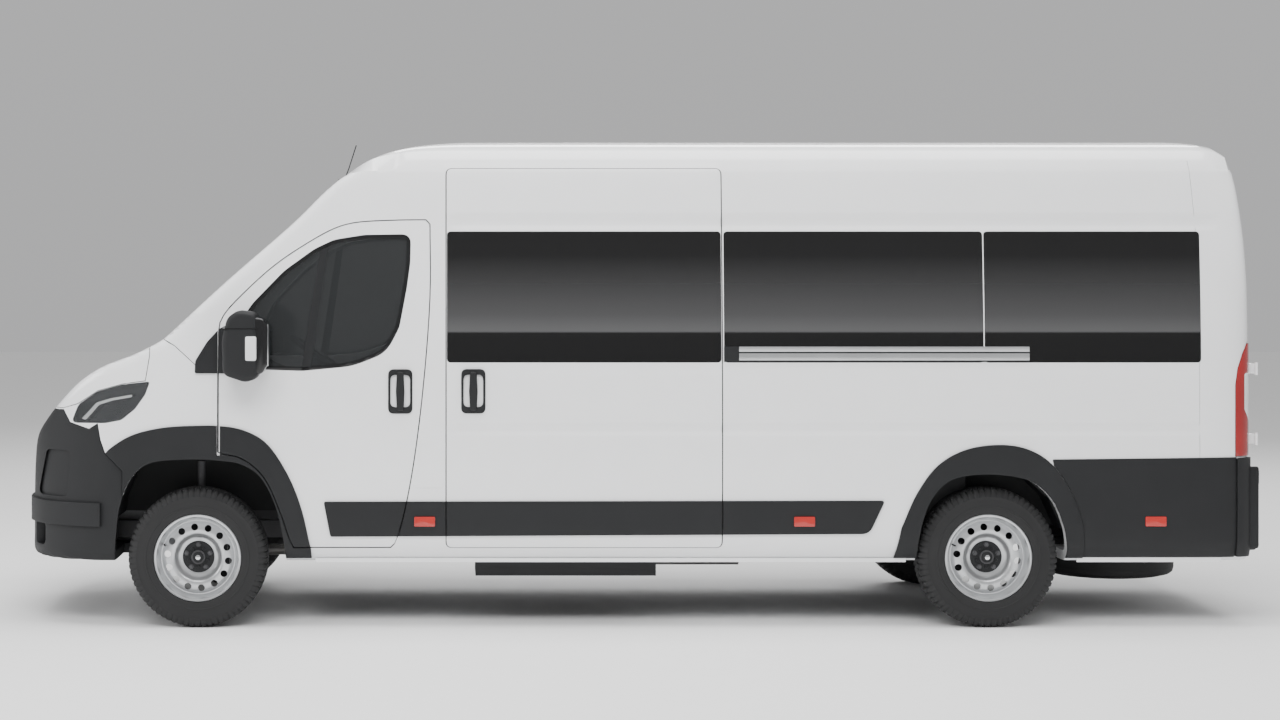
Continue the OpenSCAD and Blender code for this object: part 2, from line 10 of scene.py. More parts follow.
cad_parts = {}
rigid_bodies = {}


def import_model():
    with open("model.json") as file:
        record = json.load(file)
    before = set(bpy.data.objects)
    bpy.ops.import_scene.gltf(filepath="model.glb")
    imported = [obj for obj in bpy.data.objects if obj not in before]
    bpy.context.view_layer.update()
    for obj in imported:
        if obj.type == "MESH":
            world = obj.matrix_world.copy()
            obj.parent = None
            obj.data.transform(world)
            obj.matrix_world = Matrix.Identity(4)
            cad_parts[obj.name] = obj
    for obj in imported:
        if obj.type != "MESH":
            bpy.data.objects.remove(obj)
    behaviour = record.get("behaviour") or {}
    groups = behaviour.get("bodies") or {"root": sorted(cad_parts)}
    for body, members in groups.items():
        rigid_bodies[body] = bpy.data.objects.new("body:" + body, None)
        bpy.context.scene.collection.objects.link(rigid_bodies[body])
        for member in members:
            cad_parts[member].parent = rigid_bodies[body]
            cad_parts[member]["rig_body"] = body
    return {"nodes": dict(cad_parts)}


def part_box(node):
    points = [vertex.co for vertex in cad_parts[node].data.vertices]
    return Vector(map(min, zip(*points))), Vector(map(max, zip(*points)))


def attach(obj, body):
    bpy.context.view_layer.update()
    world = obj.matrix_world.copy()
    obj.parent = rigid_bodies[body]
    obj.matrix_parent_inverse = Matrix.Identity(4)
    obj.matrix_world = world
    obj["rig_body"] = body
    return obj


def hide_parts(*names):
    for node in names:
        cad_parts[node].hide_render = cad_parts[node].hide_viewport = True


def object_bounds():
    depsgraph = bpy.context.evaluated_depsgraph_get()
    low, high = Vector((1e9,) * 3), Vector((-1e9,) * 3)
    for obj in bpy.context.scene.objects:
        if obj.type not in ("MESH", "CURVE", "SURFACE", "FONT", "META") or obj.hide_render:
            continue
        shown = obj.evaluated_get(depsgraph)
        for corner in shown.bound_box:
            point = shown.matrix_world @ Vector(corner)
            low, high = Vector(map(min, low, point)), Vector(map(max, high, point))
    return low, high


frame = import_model()
CAD_BOX = [list(v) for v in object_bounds()]

# ---- driving dimensions, from the frame -------------------------------------------------
TYRE_LO, TYRE_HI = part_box("front_left_tyre")
X_FA = (TYRE_LO.x + TYRE_HI.x) / 2
WHEEL_Y = (TYRE_LO.y + TYRE_HI.y) / 2
TYRE_R = (TYRE_HI.z - TYRE_LO.z) / 2
REAR_LO, REAR_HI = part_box("rear_left_tyre")
X_RA = (REAR_LO.x + REAR_HI.x) / 2
NOSE = CAD_BOX[1][0]
BACK = CAD_BOX[0][0]
ROOF = CAD_BOX[1][2]
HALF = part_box("left_side")[1].y
WALL = 0.05
GAP = 0.003
X_DOOR = BACK + 0.03


def from_front(x):
    """x measured from the front axle, to the frame's x."""
    return X_FA + x


# ---- materials --------------------------------------------------------------------------
def material(name, colour, rough, metal=0.0, bump=0.0, bump_scale=400.0, coat=0.0, vary=0.04, alpha=1.0,
        rough_vary=0.08, detail=4.0, spec=0.5):
    """A procedural surface: slight colour and gloss variation, and a fine bump."""
    m = bpy.data.materials.new(name)
    m.use_nodes = True
    n, link = m.node_tree.nodes, m.node_tree.links
    b = n["Principled BSDF"]
    b.inputs["Roughness"].default_value = rough
    b.inputs["Metallic"].default_value = metal
    b.inputs["Coat Weight"].default_value = coat
    b.inputs["Coat Roughness"].default_value = 0.04
    b.inputs["Specular IOR Level"].default_value = spec
    b.inputs["Alpha"].default_value = alpha
    coord = n.new("ShaderNodeTexCoord")
    noise = n.new("ShaderNodeTexNoise")
    noise.inputs["Scale"].default_value = 6.0
    noise.inputs["Detail"].default_value = detail
    link.new(coord.outputs["Object"], noise.inputs["Vector"])
    ramp = n.new("ShaderNodeValToRGB")
    low = [c * (1 - vary) for c in colour]
    high = [min(1.0, c * (1 + vary)) for c in colour]
    ramp.color_ramp.elements[0].position = 0.3
    ramp.color_ramp.elements[1].position = 0.7
    ramp.color_ramp.elements[0].color = (*low, 1)
    ramp.color_ramp.elements[1].color = (*high, 1)
    link.new(noise.outputs["Fac"], ramp.inputs["Fac"])
    link.new(ramp.outputs["Color"], b.inputs["Base Color"])
    if rough_vary:
        r = n.new("ShaderNodeMapRange")
        r.inputs["To Min"].default_value = max(0.0, rough - rough_vary / 2)
        r.inputs["To Max"].default_value = rough + rough_vary / 2
        link.new(noise.outputs["Fac"], r.inputs["Value"])
        link.new(r.outputs["Result"], b.inputs["Roughness"])
    if bump:
        fine = n.new("ShaderNodeTexNoise")
        fine.inputs["Scale"].default_value = bump_scale
        fine.inputs["Detail"].default_value = 3.0
        link.new(coord.outputs["Object"], fine.inputs["Vector"])
        bn = n.new("ShaderNodeBump")
        bn.inputs["Strength"].default_value = bump
        bn.inputs["Distance"].default_value = 0.001
        link.new(fine.outputs["Fac"], bn.inputs["Height"])
        link.new(bn.outputs["Normal"], b.inputs["Normal"])
    return m


PAINT = material("paint", (0.86, 0.865, 0.875), 0.25, coat=0.8, bump=0.03, bump_scale=300, vary=0.01,
    rough_vary=0.04)
TRIM = material("trim", (0.013, 0.0135, 0.0145), 0.58, bump=0.35, bump_scale=900, vary=0.08, spec=0.32)
GLOSS_BLACK = material("gloss_black", (0.006, 0.006, 0.0065), 0.14, vary=0.05)
GLASS = material("glass", (0.008, 0.0085, 0.009), 0.05, vary=0.02, alpha=0.94, rough_vary=0.01, spec=0.35)
CAB_GLASS = material("cab_glass", (0.02, 0.022, 0.023), 0.03, vary=0.02, alpha=0.62, rough_vary=0.01,
    spec=0.6)


def shade_by_height(m, stops):
    """Paints a reflection into a glass's colour along its height, where a real pane would reflect sky and
    ground: a painted reflection that stays on the pane from every view.
    """
    n, link = m.node_tree.nodes, m.node_tree.links
    part = n.new("ShaderNodeSeparateXYZ")
    span = n.new("ShaderNodeMapRange")
    span.inputs["From Min"].default_value = 1.0
    span.inputs["From Max"].default_value = 2.4
    # The ramp's pale stops are painted reflection of a bright sky; its darkest stops are the glass's own
    # tint.
    reflection_ramp = n.new("ShaderNodeValToRGB")
    while len(reflection_ramp.color_ramp.elements) < len(stops):
        reflection_ramp.color_ramp.elements.new(0.5)
    for e, (z, grey) in zip(reflection_ramp.color_ramp.elements, stops):
        e.position = (z - 1.0) / 1.4
        e.color = (grey, grey, grey * 1.02, 1)
    link.new(next(x for x in n if x.type == "TEX_COORD").outputs["Object"], part.inputs["Vector"])
    link.new(part.outputs["Z"], span.inputs["Value"])
    link.new(span.outputs["Result"], reflection_ramp.inputs["Fac"])
    link.new(reflection_ramp.outputs["Color"], n["Principled BSDF"].inputs["Base Color"])


# Painted reflection: the pale band from 1.515 up to about 1.9 is a painted sky reflection in the glass
# colour; below and above it the glass keeps its own dark tint.
shade_by_height(GLASS, [(1.0, 0.006), (1.505, 0.008), (1.515, 0.085), (1.60, 0.055), (1.90, 0.010),
    (2.4, 0.006)])
RUBBER = material("rubber", (0.012, 0.012, 0.0125), 0.7, bump=0.4, bump_scale=600, vary=0.12)
STEEL = material("rim_paint", (0.56, 0.57, 0.58), 0.3, metal=0.75, bump=0.06, bump_scale=500, vary=0.05)
CHROME = material("bright_metal", (0.75, 0.76, 0.77), 0.12, metal=1.0, vary=0.03)
CHASSIS = material("chassis", (0.05, 0.05, 0.053), 0.6, bump=0.3, bump_scale=200, vary=0.2)
SEAT = material("seat_cloth", (0.05, 0.055, 0.065), 0.9, bump=0.6, bump_scale=1200, vary=0.15)
DASH = material("dash_plastic", (0.045, 0.046, 0.05), 0.65, bump=0.4, bump_scale=800, vary=0.08)
ENGINE = material("cast_alloy", (0.4, 0.41, 0.42), 0.5, metal=0.9, bump=0.5, bump_scale=150, vary=0.1)
RED = material("red_lens", (0.30, 0.012, 0.012), 0.12, coat=0.6, vary=0.12)
MARKER = material("marker_lens", (0.42, 0.02, 0.015), 0.2, coat=0.5, vary=0.15)
CLEAR = material("clear_lens", (0.10, 0.105, 0.11), 0.06, coat=0.6, vary=0.05, alpha=0.22)
WHITE_LENS = material("white_lens", (0.75, 0.76, 0.76), 0.15, coat=0.6, vary=0.06)
REFLECTOR = material("reflector", (0.8, 0.8, 0.8), 0.12, metal=1.0, vary=0.1)
ALU = material("alloy_rail", (0.6, 0.61, 0.62), 0.3, metal=0.9, bump=0.08, bump_scale=300, vary=0.05)
EXHAUST = material("exhaust_steel", (0.35, 0.34, 0.33), 0.45, metal=0.9, bump=0.2, bump_scale=120,
    vary=0.15)


# ---- mesh helpers -----------------------------------------------------------------------
def new_object(name, verts, faces, mat=None, smooth=True):
    me = bpy.data.meshes.new(name)
    me.from_pydata([tuple(map(float, v)) for v in verts], [], [tuple(map(int, f)) for f in faces])
    me.validate()
    o = bpy.data.objects.new(name, me)
    bpy.context.scene.collection.objects.link(o)
    if mat:
        me.materials.append(mat)
    bm = bmesh.new()
    bm.from_mesh(me)
    bmesh.ops.recalc_face_normals(bm, faces=bm.faces)
    bm.to_mesh(me)
    bm.free()
    if smooth:
        shade(o)
    return o


def shade(o, angle=32.0):
    """Smooth faces, with an edge kept sharp where it turns more than angle."""
    me = o.data
    for p in me.polygons:
        p.use_smooth = True
    bm = bmesh.new()
    bm.from_mesh(me)
    limit = math.radians(angle)
    for e in bm.edges:
        e.smooth = len(e.link_faces) == 2 and e.calc_face_angle(0.0) < limit
    bm.to_mesh(me)
    bm.free()


def apply_modifiers(o):
    """Replaces o's mesh with the result of its modifiers."""
    dep = bpy.context.evaluated_depsgraph_get()
    dep.update()
    me = bpy.data.meshes.new_from_object(o.evaluated_get(dep))
    old = o.data
    o.modifiers.clear()
    o.data = me
    me.name = o.name
    if old.users == 0:
        bpy.data.meshes.remove(old)


def boolean(o, tool, operation):
    m = o.modifiers.new("cut", "BOOLEAN")
    m.solver = "MANIFOLD"
    m.operation = operation
    m.object = tool
    apply_modifiers(o)


def discard(*objects):
    for o in objects:
        me = o.data
        bpy.data.objects.remove(o)
        if me.users == 0:
            bpy.data.meshes.remove(me)


def bevel(o, width, segments=2, angle=30.0):
    m = o.modifiers.new("round", "BEVEL")
    m.width = width
    m.segments = segments
    m.limit_method = "ANGLE"
    m.angle_limit = math.radians(angle)
    m.use_clamp_overlap = True
    apply_modifiers(o)
    shade(o)
    return o


def rounded(points, r, steps=6):
    """A closed outline with each corner rounded to radius r, or to r[i] at corner i."""
    out = []
    count = len(points)
    for i, p in enumerate(points):
        p = np.array(p, float)
        a = np.array(points[i - 1], float) - p
        b = np.array(points[(i + 1) % count], float) - p
        la, lb = np.linalg.norm(a), np.linalg.norm(b)
        rad = r[i] if hasattr(r, "__len__") else r
        cos = float(np.dot(a, b) / (la * lb))
        half_angle = math.acos(max(-1, min(1, cos))) / 2
        cut = min(rad / max(math.tan(half_angle), 1e-6), 0.45 * la, 0.45 * lb)
        if cut < 1e-5 or half_angle > 1.54:
            out.append(tuple(p))
            continue
        start, end = p + a / la * cut, p + b / lb * cut
        for k in range(steps + 1):
            t = k / steps
            out.append(tuple((1 - t) ** 2 * start + 2 * t * (1 - t) * p + t * t * end))
    return out


def grown(points, d):
    """A closed outline moved out by d, or in if d is negative."""
    pts = np.array(points, float)
    area = 0.5 * np.sum(pts[:, 0] * np.roll(pts[:, 1], -1) - np.roll(pts[:, 0], -1) * pts[:, 1])
    side = 1.0 if area > 0 else -1.0
    nxt, prv = np.roll(pts, -1, 0) - pts, pts - np.roll(pts, 1, 0)

    def normal(v):
        v = v / np.maximum(np.linalg.norm(v, axis=1, keepdims=True), 1e-9)
        return np.stack([v[:, 1], -v[:, 0]], 1) * side

    n1, n2 = normal(prv), normal(nxt)
    m = n1 + n2
    m /= np.maximum(np.linalg.norm(m, axis=1, keepdims=True), 1e-9)
    scale = 1 / np.maximum(np.sum(m * n2, axis=1, keepdims=True), 0.5)
    return [tuple(p) for p in pts + m * scale * d]


def prism(points, y0, y1, name="prism"):
    """An x, z outline carried across from y0 to y1."""
    n = len(points)
    verts = [(p[0], y0, p[1]) for p in points] + [(p[0], y1, p[1]) for p in points]
    faces = [tuple(range(n)), tuple(range(2 * n - 1, n - 1, -1))]
    faces += [(i, (i + 1) % n, n + (i + 1) % n, n + i) for i in range(n)]
    return new_object(name, verts, faces, smooth=False)


def box_object(name, lo, hi, mat=None, round_by=0.0, segments=2):
    verts = [(x, y, z) for x in (lo[0], hi[0]) for y in (lo[1], hi[1]) for z in (lo[2], hi[2])]
    faces = [(0, 1, 3, 2), (4, 6, 7, 5), (0, 4, 5, 1), (2, 3, 7, 6), (0, 2, 6, 4), (1, 5, 7, 3)]
    o = new_object(name, verts, faces, mat, smooth=False)
    if round_by:
        bevel(o, round_by, segments)
    return o


def join(name, objects):
    """One mesh out of several, keeping each face's material."""
    first = objects[0]
    with bpy.context.temp_override(active_object=first, selected_editable_objects=objects):
        bpy.ops.object.join()
    first.name = name
    first.data.name = name
    return first


def mirror_copy(o, name):
    """The same piece on the other side of the vehicle."""
    me = o.data.copy()
    me.transform(Matrix.Scale(-1, 4, Vector((0, 1, 0))))
    me.flip_normals()
    c = bpy.data.objects.new(name, me)
    me.name = name
    bpy.context.scene.collection.objects.link(c)
    return c


def place(o, body, slot, *nodes):
    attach(o, body)
    if nodes:
        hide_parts(*nodes)
    return o


# ---- the body's smooth surface ----------------------------------------------------------
def spline(points, per=8, closed=False):
    """A smooth line through the points (centripetal Catmull-Rom)."""
    p = np.array(points, float)
    if closed:
        p = np.vstack([p[-1], p, p[0], p[1]])
    else:
        p = np.vstack([2 * p[0] - p[1], p, 2 * p[-1] - p[-2]])
    out = []
    for i in range(1, len(p) - 2):
        p0, p1, p2, p3 = p[i - 1:i + 3]
        t0 = 0.0
        t1 = t0 + max(np.linalg.norm(p1 - p0), 1e-6) ** 0.5
        t2 = t1 + max(np.linalg.norm(p2 - p1), 1e-6) ** 0.5
        t3 = t2 + max(np.linalg.norm(p3 - p2), 1e-6) ** 0.5
        for t in np.linspace(t1, t2, per, endpoint=False):
            a1 = (t1 - t) / (t1 - t0) * p0 + (t - t0) / (t1 - t0) * p1
            a2 = (t2 - t) / (t2 - t1) * p1 + (t - t1) / (t2 - t1) * p2
            a3 = (t3 - t) / (t3 - t2) * p2 + (t - t2) / (t3 - t2) * p3
            b1 = (t2 - t) / (t2 - t0) * a1 + (t - t0) / (t2 - t0) * a2
            b2 = (t3 - t) / (t3 - t1) * a2 + (t - t1) / (t3 - t1) * a3
            out.append((t2 - t) / (t2 - t1) * b1 + (t - t1) / (t2 - t1) * b2)
    if not closed:
        out.append(p[-2])
    return np.array(out)


LOW = 0.335
PROFILE = np.vstack([[(NOSE - 0.02, LOW - 0.2)], spline([(NOSE - 0.02, 0.45), (NOSE - 0.022, 0.62),
    (NOSE - 0.032, 0.80), (NOSE - 0.062, 0.95), (NOSE - 0.14, 1.055), (NOSE - 0.24, 1.165),
    (NOSE - 0.335, 1.255), (NOSE - 0.45, 1.328), (from_front(0.324), 1.396), (from_front(0.20), 1.458)],
    6), spline([(from_front(0.17), 1.478), (from_front(-0.14), 1.765), (from_front(-0.499), 2.080),
    (from_front(-0.66), 2.240), (from_front(-0.78), 2.335), (from_front(-0.92), 2.415),
    (from_front(-1.08), 2.468), (from_front(-1.27), ROOF - 0.006), (from_front(-1.6), ROOF)], 6),
    spline([(X_RA - 1.0, ROOF), (BACK + 0.33, ROOF - 0.003), (BACK + 0.235, ROOF - 0.02),
    (BACK + 0.165, ROOF - 0.075), (BACK + 0.13, ROOF - 0.19), (BACK + 0.09, ROOF - 0.42),
    (BACK + 0.052, ROOF - 0.70), (X_DOOR + 0.004, ROOF - 0.95), (X_DOOR, 1.3), (X_DOOR + 0.006, 0.87),
    (X_DOOR + 0.012, LOW - 0.2)], 6)])
SECTION = np.vstack([[(0, LOW), (HALF - 0.11, LOW)], spline([(HALF - 0.062, 0.365), (HALF - 0.026, 0.42),
    (HALF - 0.012, 0.48), (HALF - 0.002, 0.70), (HALF, 0.90), (HALF - 0.004, 1.20), (HALF - 0.014, 1.50),
    (HALF - 0.034, 1.80), (HALF - 0.056, 2.06), (HALF - 0.082, 2.31), (HALF - 0.098, 2.375),
    (HALF - 0.130, 2.425), (HALF - 0.185, 2.462), (HALF - 0.30, 2.492), (HALF - 0.5, 2.54)], 6),
    [(0, 2.64)]])
PLAN = np.vstack([[(NOSE + 0.02, 0)], spline([(NOSE + 0.004, 0.17), (NOSE - 0.016, 0.40),
    (NOSE - 0.062, 0.60), (NOSE - 0.13, 0.75), (NOSE - 0.222, 0.853), (NOSE - 0.33, 0.922),
    (NOSE - 0.48, HALF - 0.046), (NOSE - 0.70, HALF - 0.004), (NOSE - 1.0, HALF + 0.05)], 6),
    spline([(BACK + 0.8, HALF + 0.05), (BACK + 0.30, HALF + 0.01), (BACK + 0.17, HALF - 0.014),
    (BACK + 0.105, HALF - 0.042), (BACK + 0.066, HALF - 0.08), (BACK + 0.044, HALF - 0.14),
    (BACK + 0.034, HALF - 0.25), (BACK + 0.026, 0.5)], 6), [(BACK + 0.024, 0)]])


def exit_distance(o, d, outline):
    """How far rays from points o along d run before they leave a convex-ish outline."""
    a = outline
    b = np.roll(outline, -1, 0)
    e = b - a
    best = np.full(len(o), 50.0)
    for i in range(len(a)):
        den = d[:, 0] * e[i, 1] - d[:, 1] * e[i, 0]
        den = np.where(np.abs(den) < 1e-12, 1e-12, den)
        w = a[i] - o
        t = (w[:, 0] * e[i, 1] - w[:, 1] * e[i, 0]) / den
        s = (w[:, 0] * d[:, 1] - w[:, 1] * d[:, 0]) / den
        ok = (t > 1e-6) & (s >= -1e-6) & (s <= 1 + 1e-6)
        best = np.where(ok & (t < best), t, best)
    return best


def soft_min(a, b, k):
    h = np.clip(k - np.abs(a - b), 0, None) / k
    return np.minimum(a, b) - h * h * k / 4


def ray_points():
    """Origins along the vehicle and a fan of directions round each: a grid of rays."""
    z_side = np.concatenate([np.linspace(LOW + 0.02, 0.95, 28), np.linspace(0.965, 1.075, 14),
        np.linspace(1.10, 2.0, 36), np.linspace(2.02, 2.13, 12), np.linspace(2.15, 2.42, 16)])
    y_top = np.linspace(1.0, 0.0, 34)[1:]
    y_low = np.linspace(0.0, 1.0, 14)
    half = [(y, LOW) for y in y_low] + [(1.02, z) for z in z_side] + [(y, 2.52) for y in y_top]
    ring = half + [(-y, z) for y, z in reversed(half[1:-1])]
    xs = np.linspace(BACK + 0.75, from_front(0.30), 168)
    rows = []
    # The rear corners and edges lie between these two leans, so rays crowd there
    leans = np.concatenate([np.linspace(2, 24, 10), np.linspace(25, 44, 48), np.linspace(46, 62, 14),
        np.linspace(65, 88, 8)])
    for lean in leans[::-1]:
        rows.append(("back", xs[0], math.radians(lean)))
    for x in xs:
        rows.append(("mid", x, 0.0))
    for lean in np.linspace(1.2, 88.8, 80):
        rows.append(("front", xs[-1], math.radians(lean)))
    return ring, rows


def centre_z(x):
    """Height of the rays' origin: lower under the bonnet."""
    t = np.clip((x - from_front(-1.2)) / 1.5, 0, 1)
    return 1.40 - 0.62 * t * t * (3 - 2 * t)


def body_grid():
    ring, rows = ray_points()
    org, dirs = [], []
    for kind, x, lean in rows:
        oz = float(centre_z(x))
        for y, z in ring:
            v = np.array([0.0, y, z - oz])
            v /= np.linalg.norm(v)
            way = {"back": -1.0, "mid": 0.0, "front": 1.0}[kind]
            d = v * math.cos(lean) + np.array([way, 0, 0]) * math.sin(lean)
            org.append((x, 0.0, oz))
            dirs.append(d)
    o, d = np.array(org), np.array(dirs)
    tp = exit_distance(o[:, [0, 2]], d[:, [0, 2]], PROFILE)
    ad = np.stack([np.abs(d[:, 1]), d[:, 2]], 1)
    ts = exit_distance(np.stack([o[:, 1], o[:, 2]], 1) + 1e-9, ad, SECTION)
    tl = exit_distance(o[:, [0, 1]] + np.array([0, 1e-9]), np.stack([d[:, 0], np.abs(d[:, 1])], 1), PLAN)
    t = soft_min(soft_min(tp, ts, 0.07), tl, 0.06)
    p = o + d * t[:, None]
    return p.reshape(len(rows), len(ring), 3)


def press(p):
    """The pressed lines of the sides: a shallow band at mid height and one above the windows."""
    x, y, z = p[..., 0], p[..., 1], p[..., 2]
    side = np.clip((np.abs(y) - 0.86) / 0.04, 0, 1)

    def band(z0, z1, soft):
        return np.clip((z - z0) / soft, 0, 1) * np.clip((z1 - z) / soft, 0, 1)

    def span(x0, x1, soft):
        return np.clip((x - x0) / soft, 0, 1) * np.clip((x1 - x) / soft, 0, 1)

    rear = span(BACK + 0.30, from_front(-1.29), 0.03)
    cut = 0.007 * band(0.985, 1.05, 0.018) * rear
    cut = cut + 0.009 * band(2.035, 2.105, 0.016) * span(BACK + 0.24, from_front(-1.29), 0.03)
    cut = cut + 0.006 * band(1.325, 1.352, 0.012) * rear
    q = p.copy()
    q[..., 1] -= np.sign(y) * cut * side
    return q


def grid_normals(p):
    du = np.gradient(p, axis=0)
    wrapped = np.concatenate([p[:, -1:], p, p[:, :1]], axis=1)
    dv = (wrapped[:, 2:] - wrapped[:, :-2])
    n = np.cross(du, dv)
    n /= np.maximum(np.linalg.norm(n, axis=2, keepdims=True), 1e-12)
    out = p - np.array([X_FA - 2.2, 0, 1.2])
    flip = np.sum(n * out, axis=2, keepdims=True) < 0
    return np.where(flip, -n, n)


def closed_grid(p, name):
    """A closed tube-like grid with a fan at each end, as one mesh."""
    rows, cols = p.shape[:2]
    verts = p.reshape(-1, 3).tolist()
    faces = []
    for i in range(rows - 1):
        for j in range(cols):
            k = (j + 1) % cols
            faces.append((i * cols + j, i * cols + k, (i + 1) * cols + k, (i + 1) * cols + j))
    for i in (0, rows - 1):
        middle = p[i].mean(axis=0)
        verts.append(middle.tolist())
        c = len(verts) - 1
        faces += [(i * cols + j, i * cols + (j + 1) % cols, c) for j in range(cols)]
    return new_object(name, verts, faces, smooth=False)


PLAIN_GRID = body_grid()
GRID = press(PLAIN_GRID)
NORMALS = grid_normals(PLAIN_GRID)


def body_solid(offset, name, pressed=True):
    """The body's outside moved out by offset, as a closed solid."""
    return closed_grid((GRID if pressed else PLAIN_GRID) + NORMALS * offset, name)


def shell_between(outer, inner, name, pressed=True):
    a = body_solid(outer, name, pressed)
    b = body_solid(inner, name + "_in", False)
    boolean(a, b, "DIFFERENCE")
    discard(b)
    return a


SKIN = shell_between(0.0, -WALL, "skin")


def panel(name, source, keep, cuts=(), mat=PAINT, edge=0.0):
    """The part of source inside every solid in keep and outside every solid in cuts."""
    o = bpy.data.objects.new(name, source.data.copy())
    bpy.context.scene.collection.objects.link(o)
    for k in keep:
        boolean(o, k, "INTERSECT")
    for c in cuts:
        boolean(o, c, "DIFFERENCE")
    o.data.materials.clear()
    o.data.materials.append(mat)
    if edge:
        bevel(o, edge, 2)
    shade(o)
    return o


# ---- outlines of the panels, x and z ----------------------------------------------------
F = from_front
SLIDE_LO, SLIDE_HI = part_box("sliding_door")
SGLASS_LO, SGLASS_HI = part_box("sliding_door_glass")
RDOOR_LO, RDOOR_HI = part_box("left_rear_door")
WIN_LO, WIN_HI = SGLASS_LO.z, SGLASS_HI.z
SEAM_Z = SLIDE_HI.z + 0.04
REAR_TOP = RDOOR_HI.z
REAR_LOW = RDOOR_LO.z
REAR_HALF = RDOOR_HI.y
SCREEN_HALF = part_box("windscreen")[1].y
FRONT_EDGE = F(-0.108)


def front(points):
    return [(F(x), z) for x, z in points]


def behind(points):
    """Points given from the rear axle."""
    return [(X_RA + x, z) for x, z in points]


def curve(points, per=5):
    return [tuple(p) for p in spline(points, per)]


DOOR = front(curve([(-0.108, 0.898), (-0.108, 1.20), (-0.110, 1.52)], 4)
    + curve([(-0.116, 1.558), (-0.142, 1.607), (-0.235, 1.708), (-0.390, 1.848), (-0.544, 1.954),
    (-0.698, 2.039), (-0.800, 2.068), (-1.005, 2.081), (-1.165, 2.083)], 5)
    + curve([(-1.186, 2.060), (-1.186, 1.686), (-1.146, 1.176), (-1.091, 0.769), (-1.036, 0.514),
    (-1.004, 0.430)], 5) + [(-0.985, 0.411)] + curve([(-0.492, 0.411), (-0.469, 0.460), (-0.425, 0.590),
    (-0.336, 0.778), (-0.225, 0.868), (-0.130, 0.890)], 6))
DOOR_WINDOW = front(rounded([(-0.118, 1.326), (-0.265, 1.640), (-0.441, 1.822), (-0.595, 1.934),
    (-0.697, 1.982), (-0.851, 2.006), (-1.089, 2.010), (-1.086, 1.865), (-1.069, 1.738), (-1.031, 1.535),
    (-0.965, 1.405), (-0.791, 1.336), (-0.536, 1.312)], [0.02, 0.3, 0.3, 0.3, 0.2, 0.2, 0.05, 0.3, 0.3,
    0.15, 0.2, 0.4, 0.3], 8))
FRONT_ARCH = front([(0.430, 0.2), (0.430, 0.339)] + curve([(0.420, 0.456), (0.400, 0.610), (0.350, 0.750),
    (0.255, 0.836), (0.081, 0.861), (-0.102, 0.857), (-0.224, 0.838), (-0.320, 0.775), (-0.400, 0.624),
    (-0.440, 0.445), (-0.452, 0.330)], 6) + [(-0.455, 0.2)])
FRONT_ARCH_OUT = front([(0.60, 0.2), (0.60, 0.62)] + curve([(0.52, 0.80), (0.470, 0.892), (0.427, 0.930),
    (0.335, 0.983), (0.181, 1.022), (-0.012, 1.034), (-0.104, 1.033), (-0.226, 1.014), (-0.345, 0.952),
    (-0.453, 0.802), (-0.528, 0.623), (-0.579, 0.403)], 6) + [(-0.584, 0.30), (-0.584, 0.2)])
REAR_ARCH = behind([(0.363, 0.2), (0.363, 0.34)] + curve([(0.362, 0.43), (0.341, 0.540), (0.294, 0.660),
    (0.216, 0.746), (0.114, 0.779), (-0.065, 0.782), (-0.217, 0.748), (-0.318, 0.657), (-0.378, 0.524),
    (-0.403, 0.40)], 6) + [(-0.405, 0.2)])
REAR_ARCH_OUT = behind([(0.478, 0.2), (0.476, 0.366)] + curve([(0.448, 0.509), (0.370, 0.686),
    (0.266, 0.828), (0.138, 0.905), (-0.016, 0.935), (-0.169, 0.922), (-0.295, 0.857), (-0.396, 0.728),
    (-0.470, 0.549), (-0.488, 0.370)], 6) + [(-0.490, 0.2)])
QUARTER = rounded([(X_RA - 0.32, 0.862), (BACK + 0.135, 0.872), (BACK + 0.135, 0.358),
    (X_RA - 0.44, 0.352)], 0.006)
STRIP = front(rounded([(-0.645, 0.647), (-3.502, 0.652), (-3.423, 0.482), (-0.679, 0.468)],
    [0.01, 0.012, 0.06, 0.012]))
LAMP = front(rounded([(0.655, 1.044), (0.616, 1.136), (0.511, 1.205), (0.383, 1.240), (0.243, 1.256),
    (0.268, 1.190), (0.320, 1.118), (0.390, 1.062), (0.470, 1.046)],
    [0.02, 0.06, 0.1, 0.1, 0.008, 0.02, 0.05, 0.05, 0.03]))
BONNET = [(F(0.245), 1.9), (F(0.245), 1.385), (F(0.266), 1.262), (F(0.383), 1.246), (F(0.511), 1.211),
    (F(0.620), 1.142), (F(0.70), 1.118), (NOSE + 0.1, 1.118), (NOSE + 0.1, 1.9)]
BUMPER = [(NOSE + 0.1, 0.15), (NOSE + 0.1, 1.108), (F(0.70), 1.108), (F(0.664), 1.044), (F(0.560), 1.012),
    (F(0.514), 1.040), (F(0.500), 0.96), (F(0.474), 0.888), (F(0.385), 0.80), (F(0.385), 0.15)]
TAIL = [(BACK - 0.1, 1.452), (BACK + 0.068, 1.452), (BACK + 0.098, 1.40), (BACK + 0.126, 1.325),
    (BACK + 0.139, 1.24), (BACK + 0.140, 0.876), (BACK - 0.1, 0.876)]
WING_LINE = [(F(0.30), 1.55), (F(0.115), 1.443), (F(-0.016), 1.323), (F(-0.105), 1.314)]
EDGE_X = F(-0.105)

# The windscreen's opening, seen from the side, and the roof's lower edge
SCREEN_CUT = [(F(0.175), 1.40), (F(0.205), 1.462), (F(0.30), 1.60), (F(-0.55), 2.42), (F(-0.70), 2.262),
    (F(-0.76), 2.16)]
ROOF_ZONE = [(F(-0.69), 2.255), (F(-0.55), 2.42), (F(-0.5), 2.8), (BACK - 0.2, 2.8),
    (BACK - 0.2, REAR_TOP + 0.004), (BACK + 0.22, REAR_TOP + 0.004), (BACK + 0.26, SEAM_Z),
    (F(-1.05), SEAM_Z), (F(-0.90), 2.26), (F(-0.75), 2.16)]
REAR_PLANE = BACK + 0.20


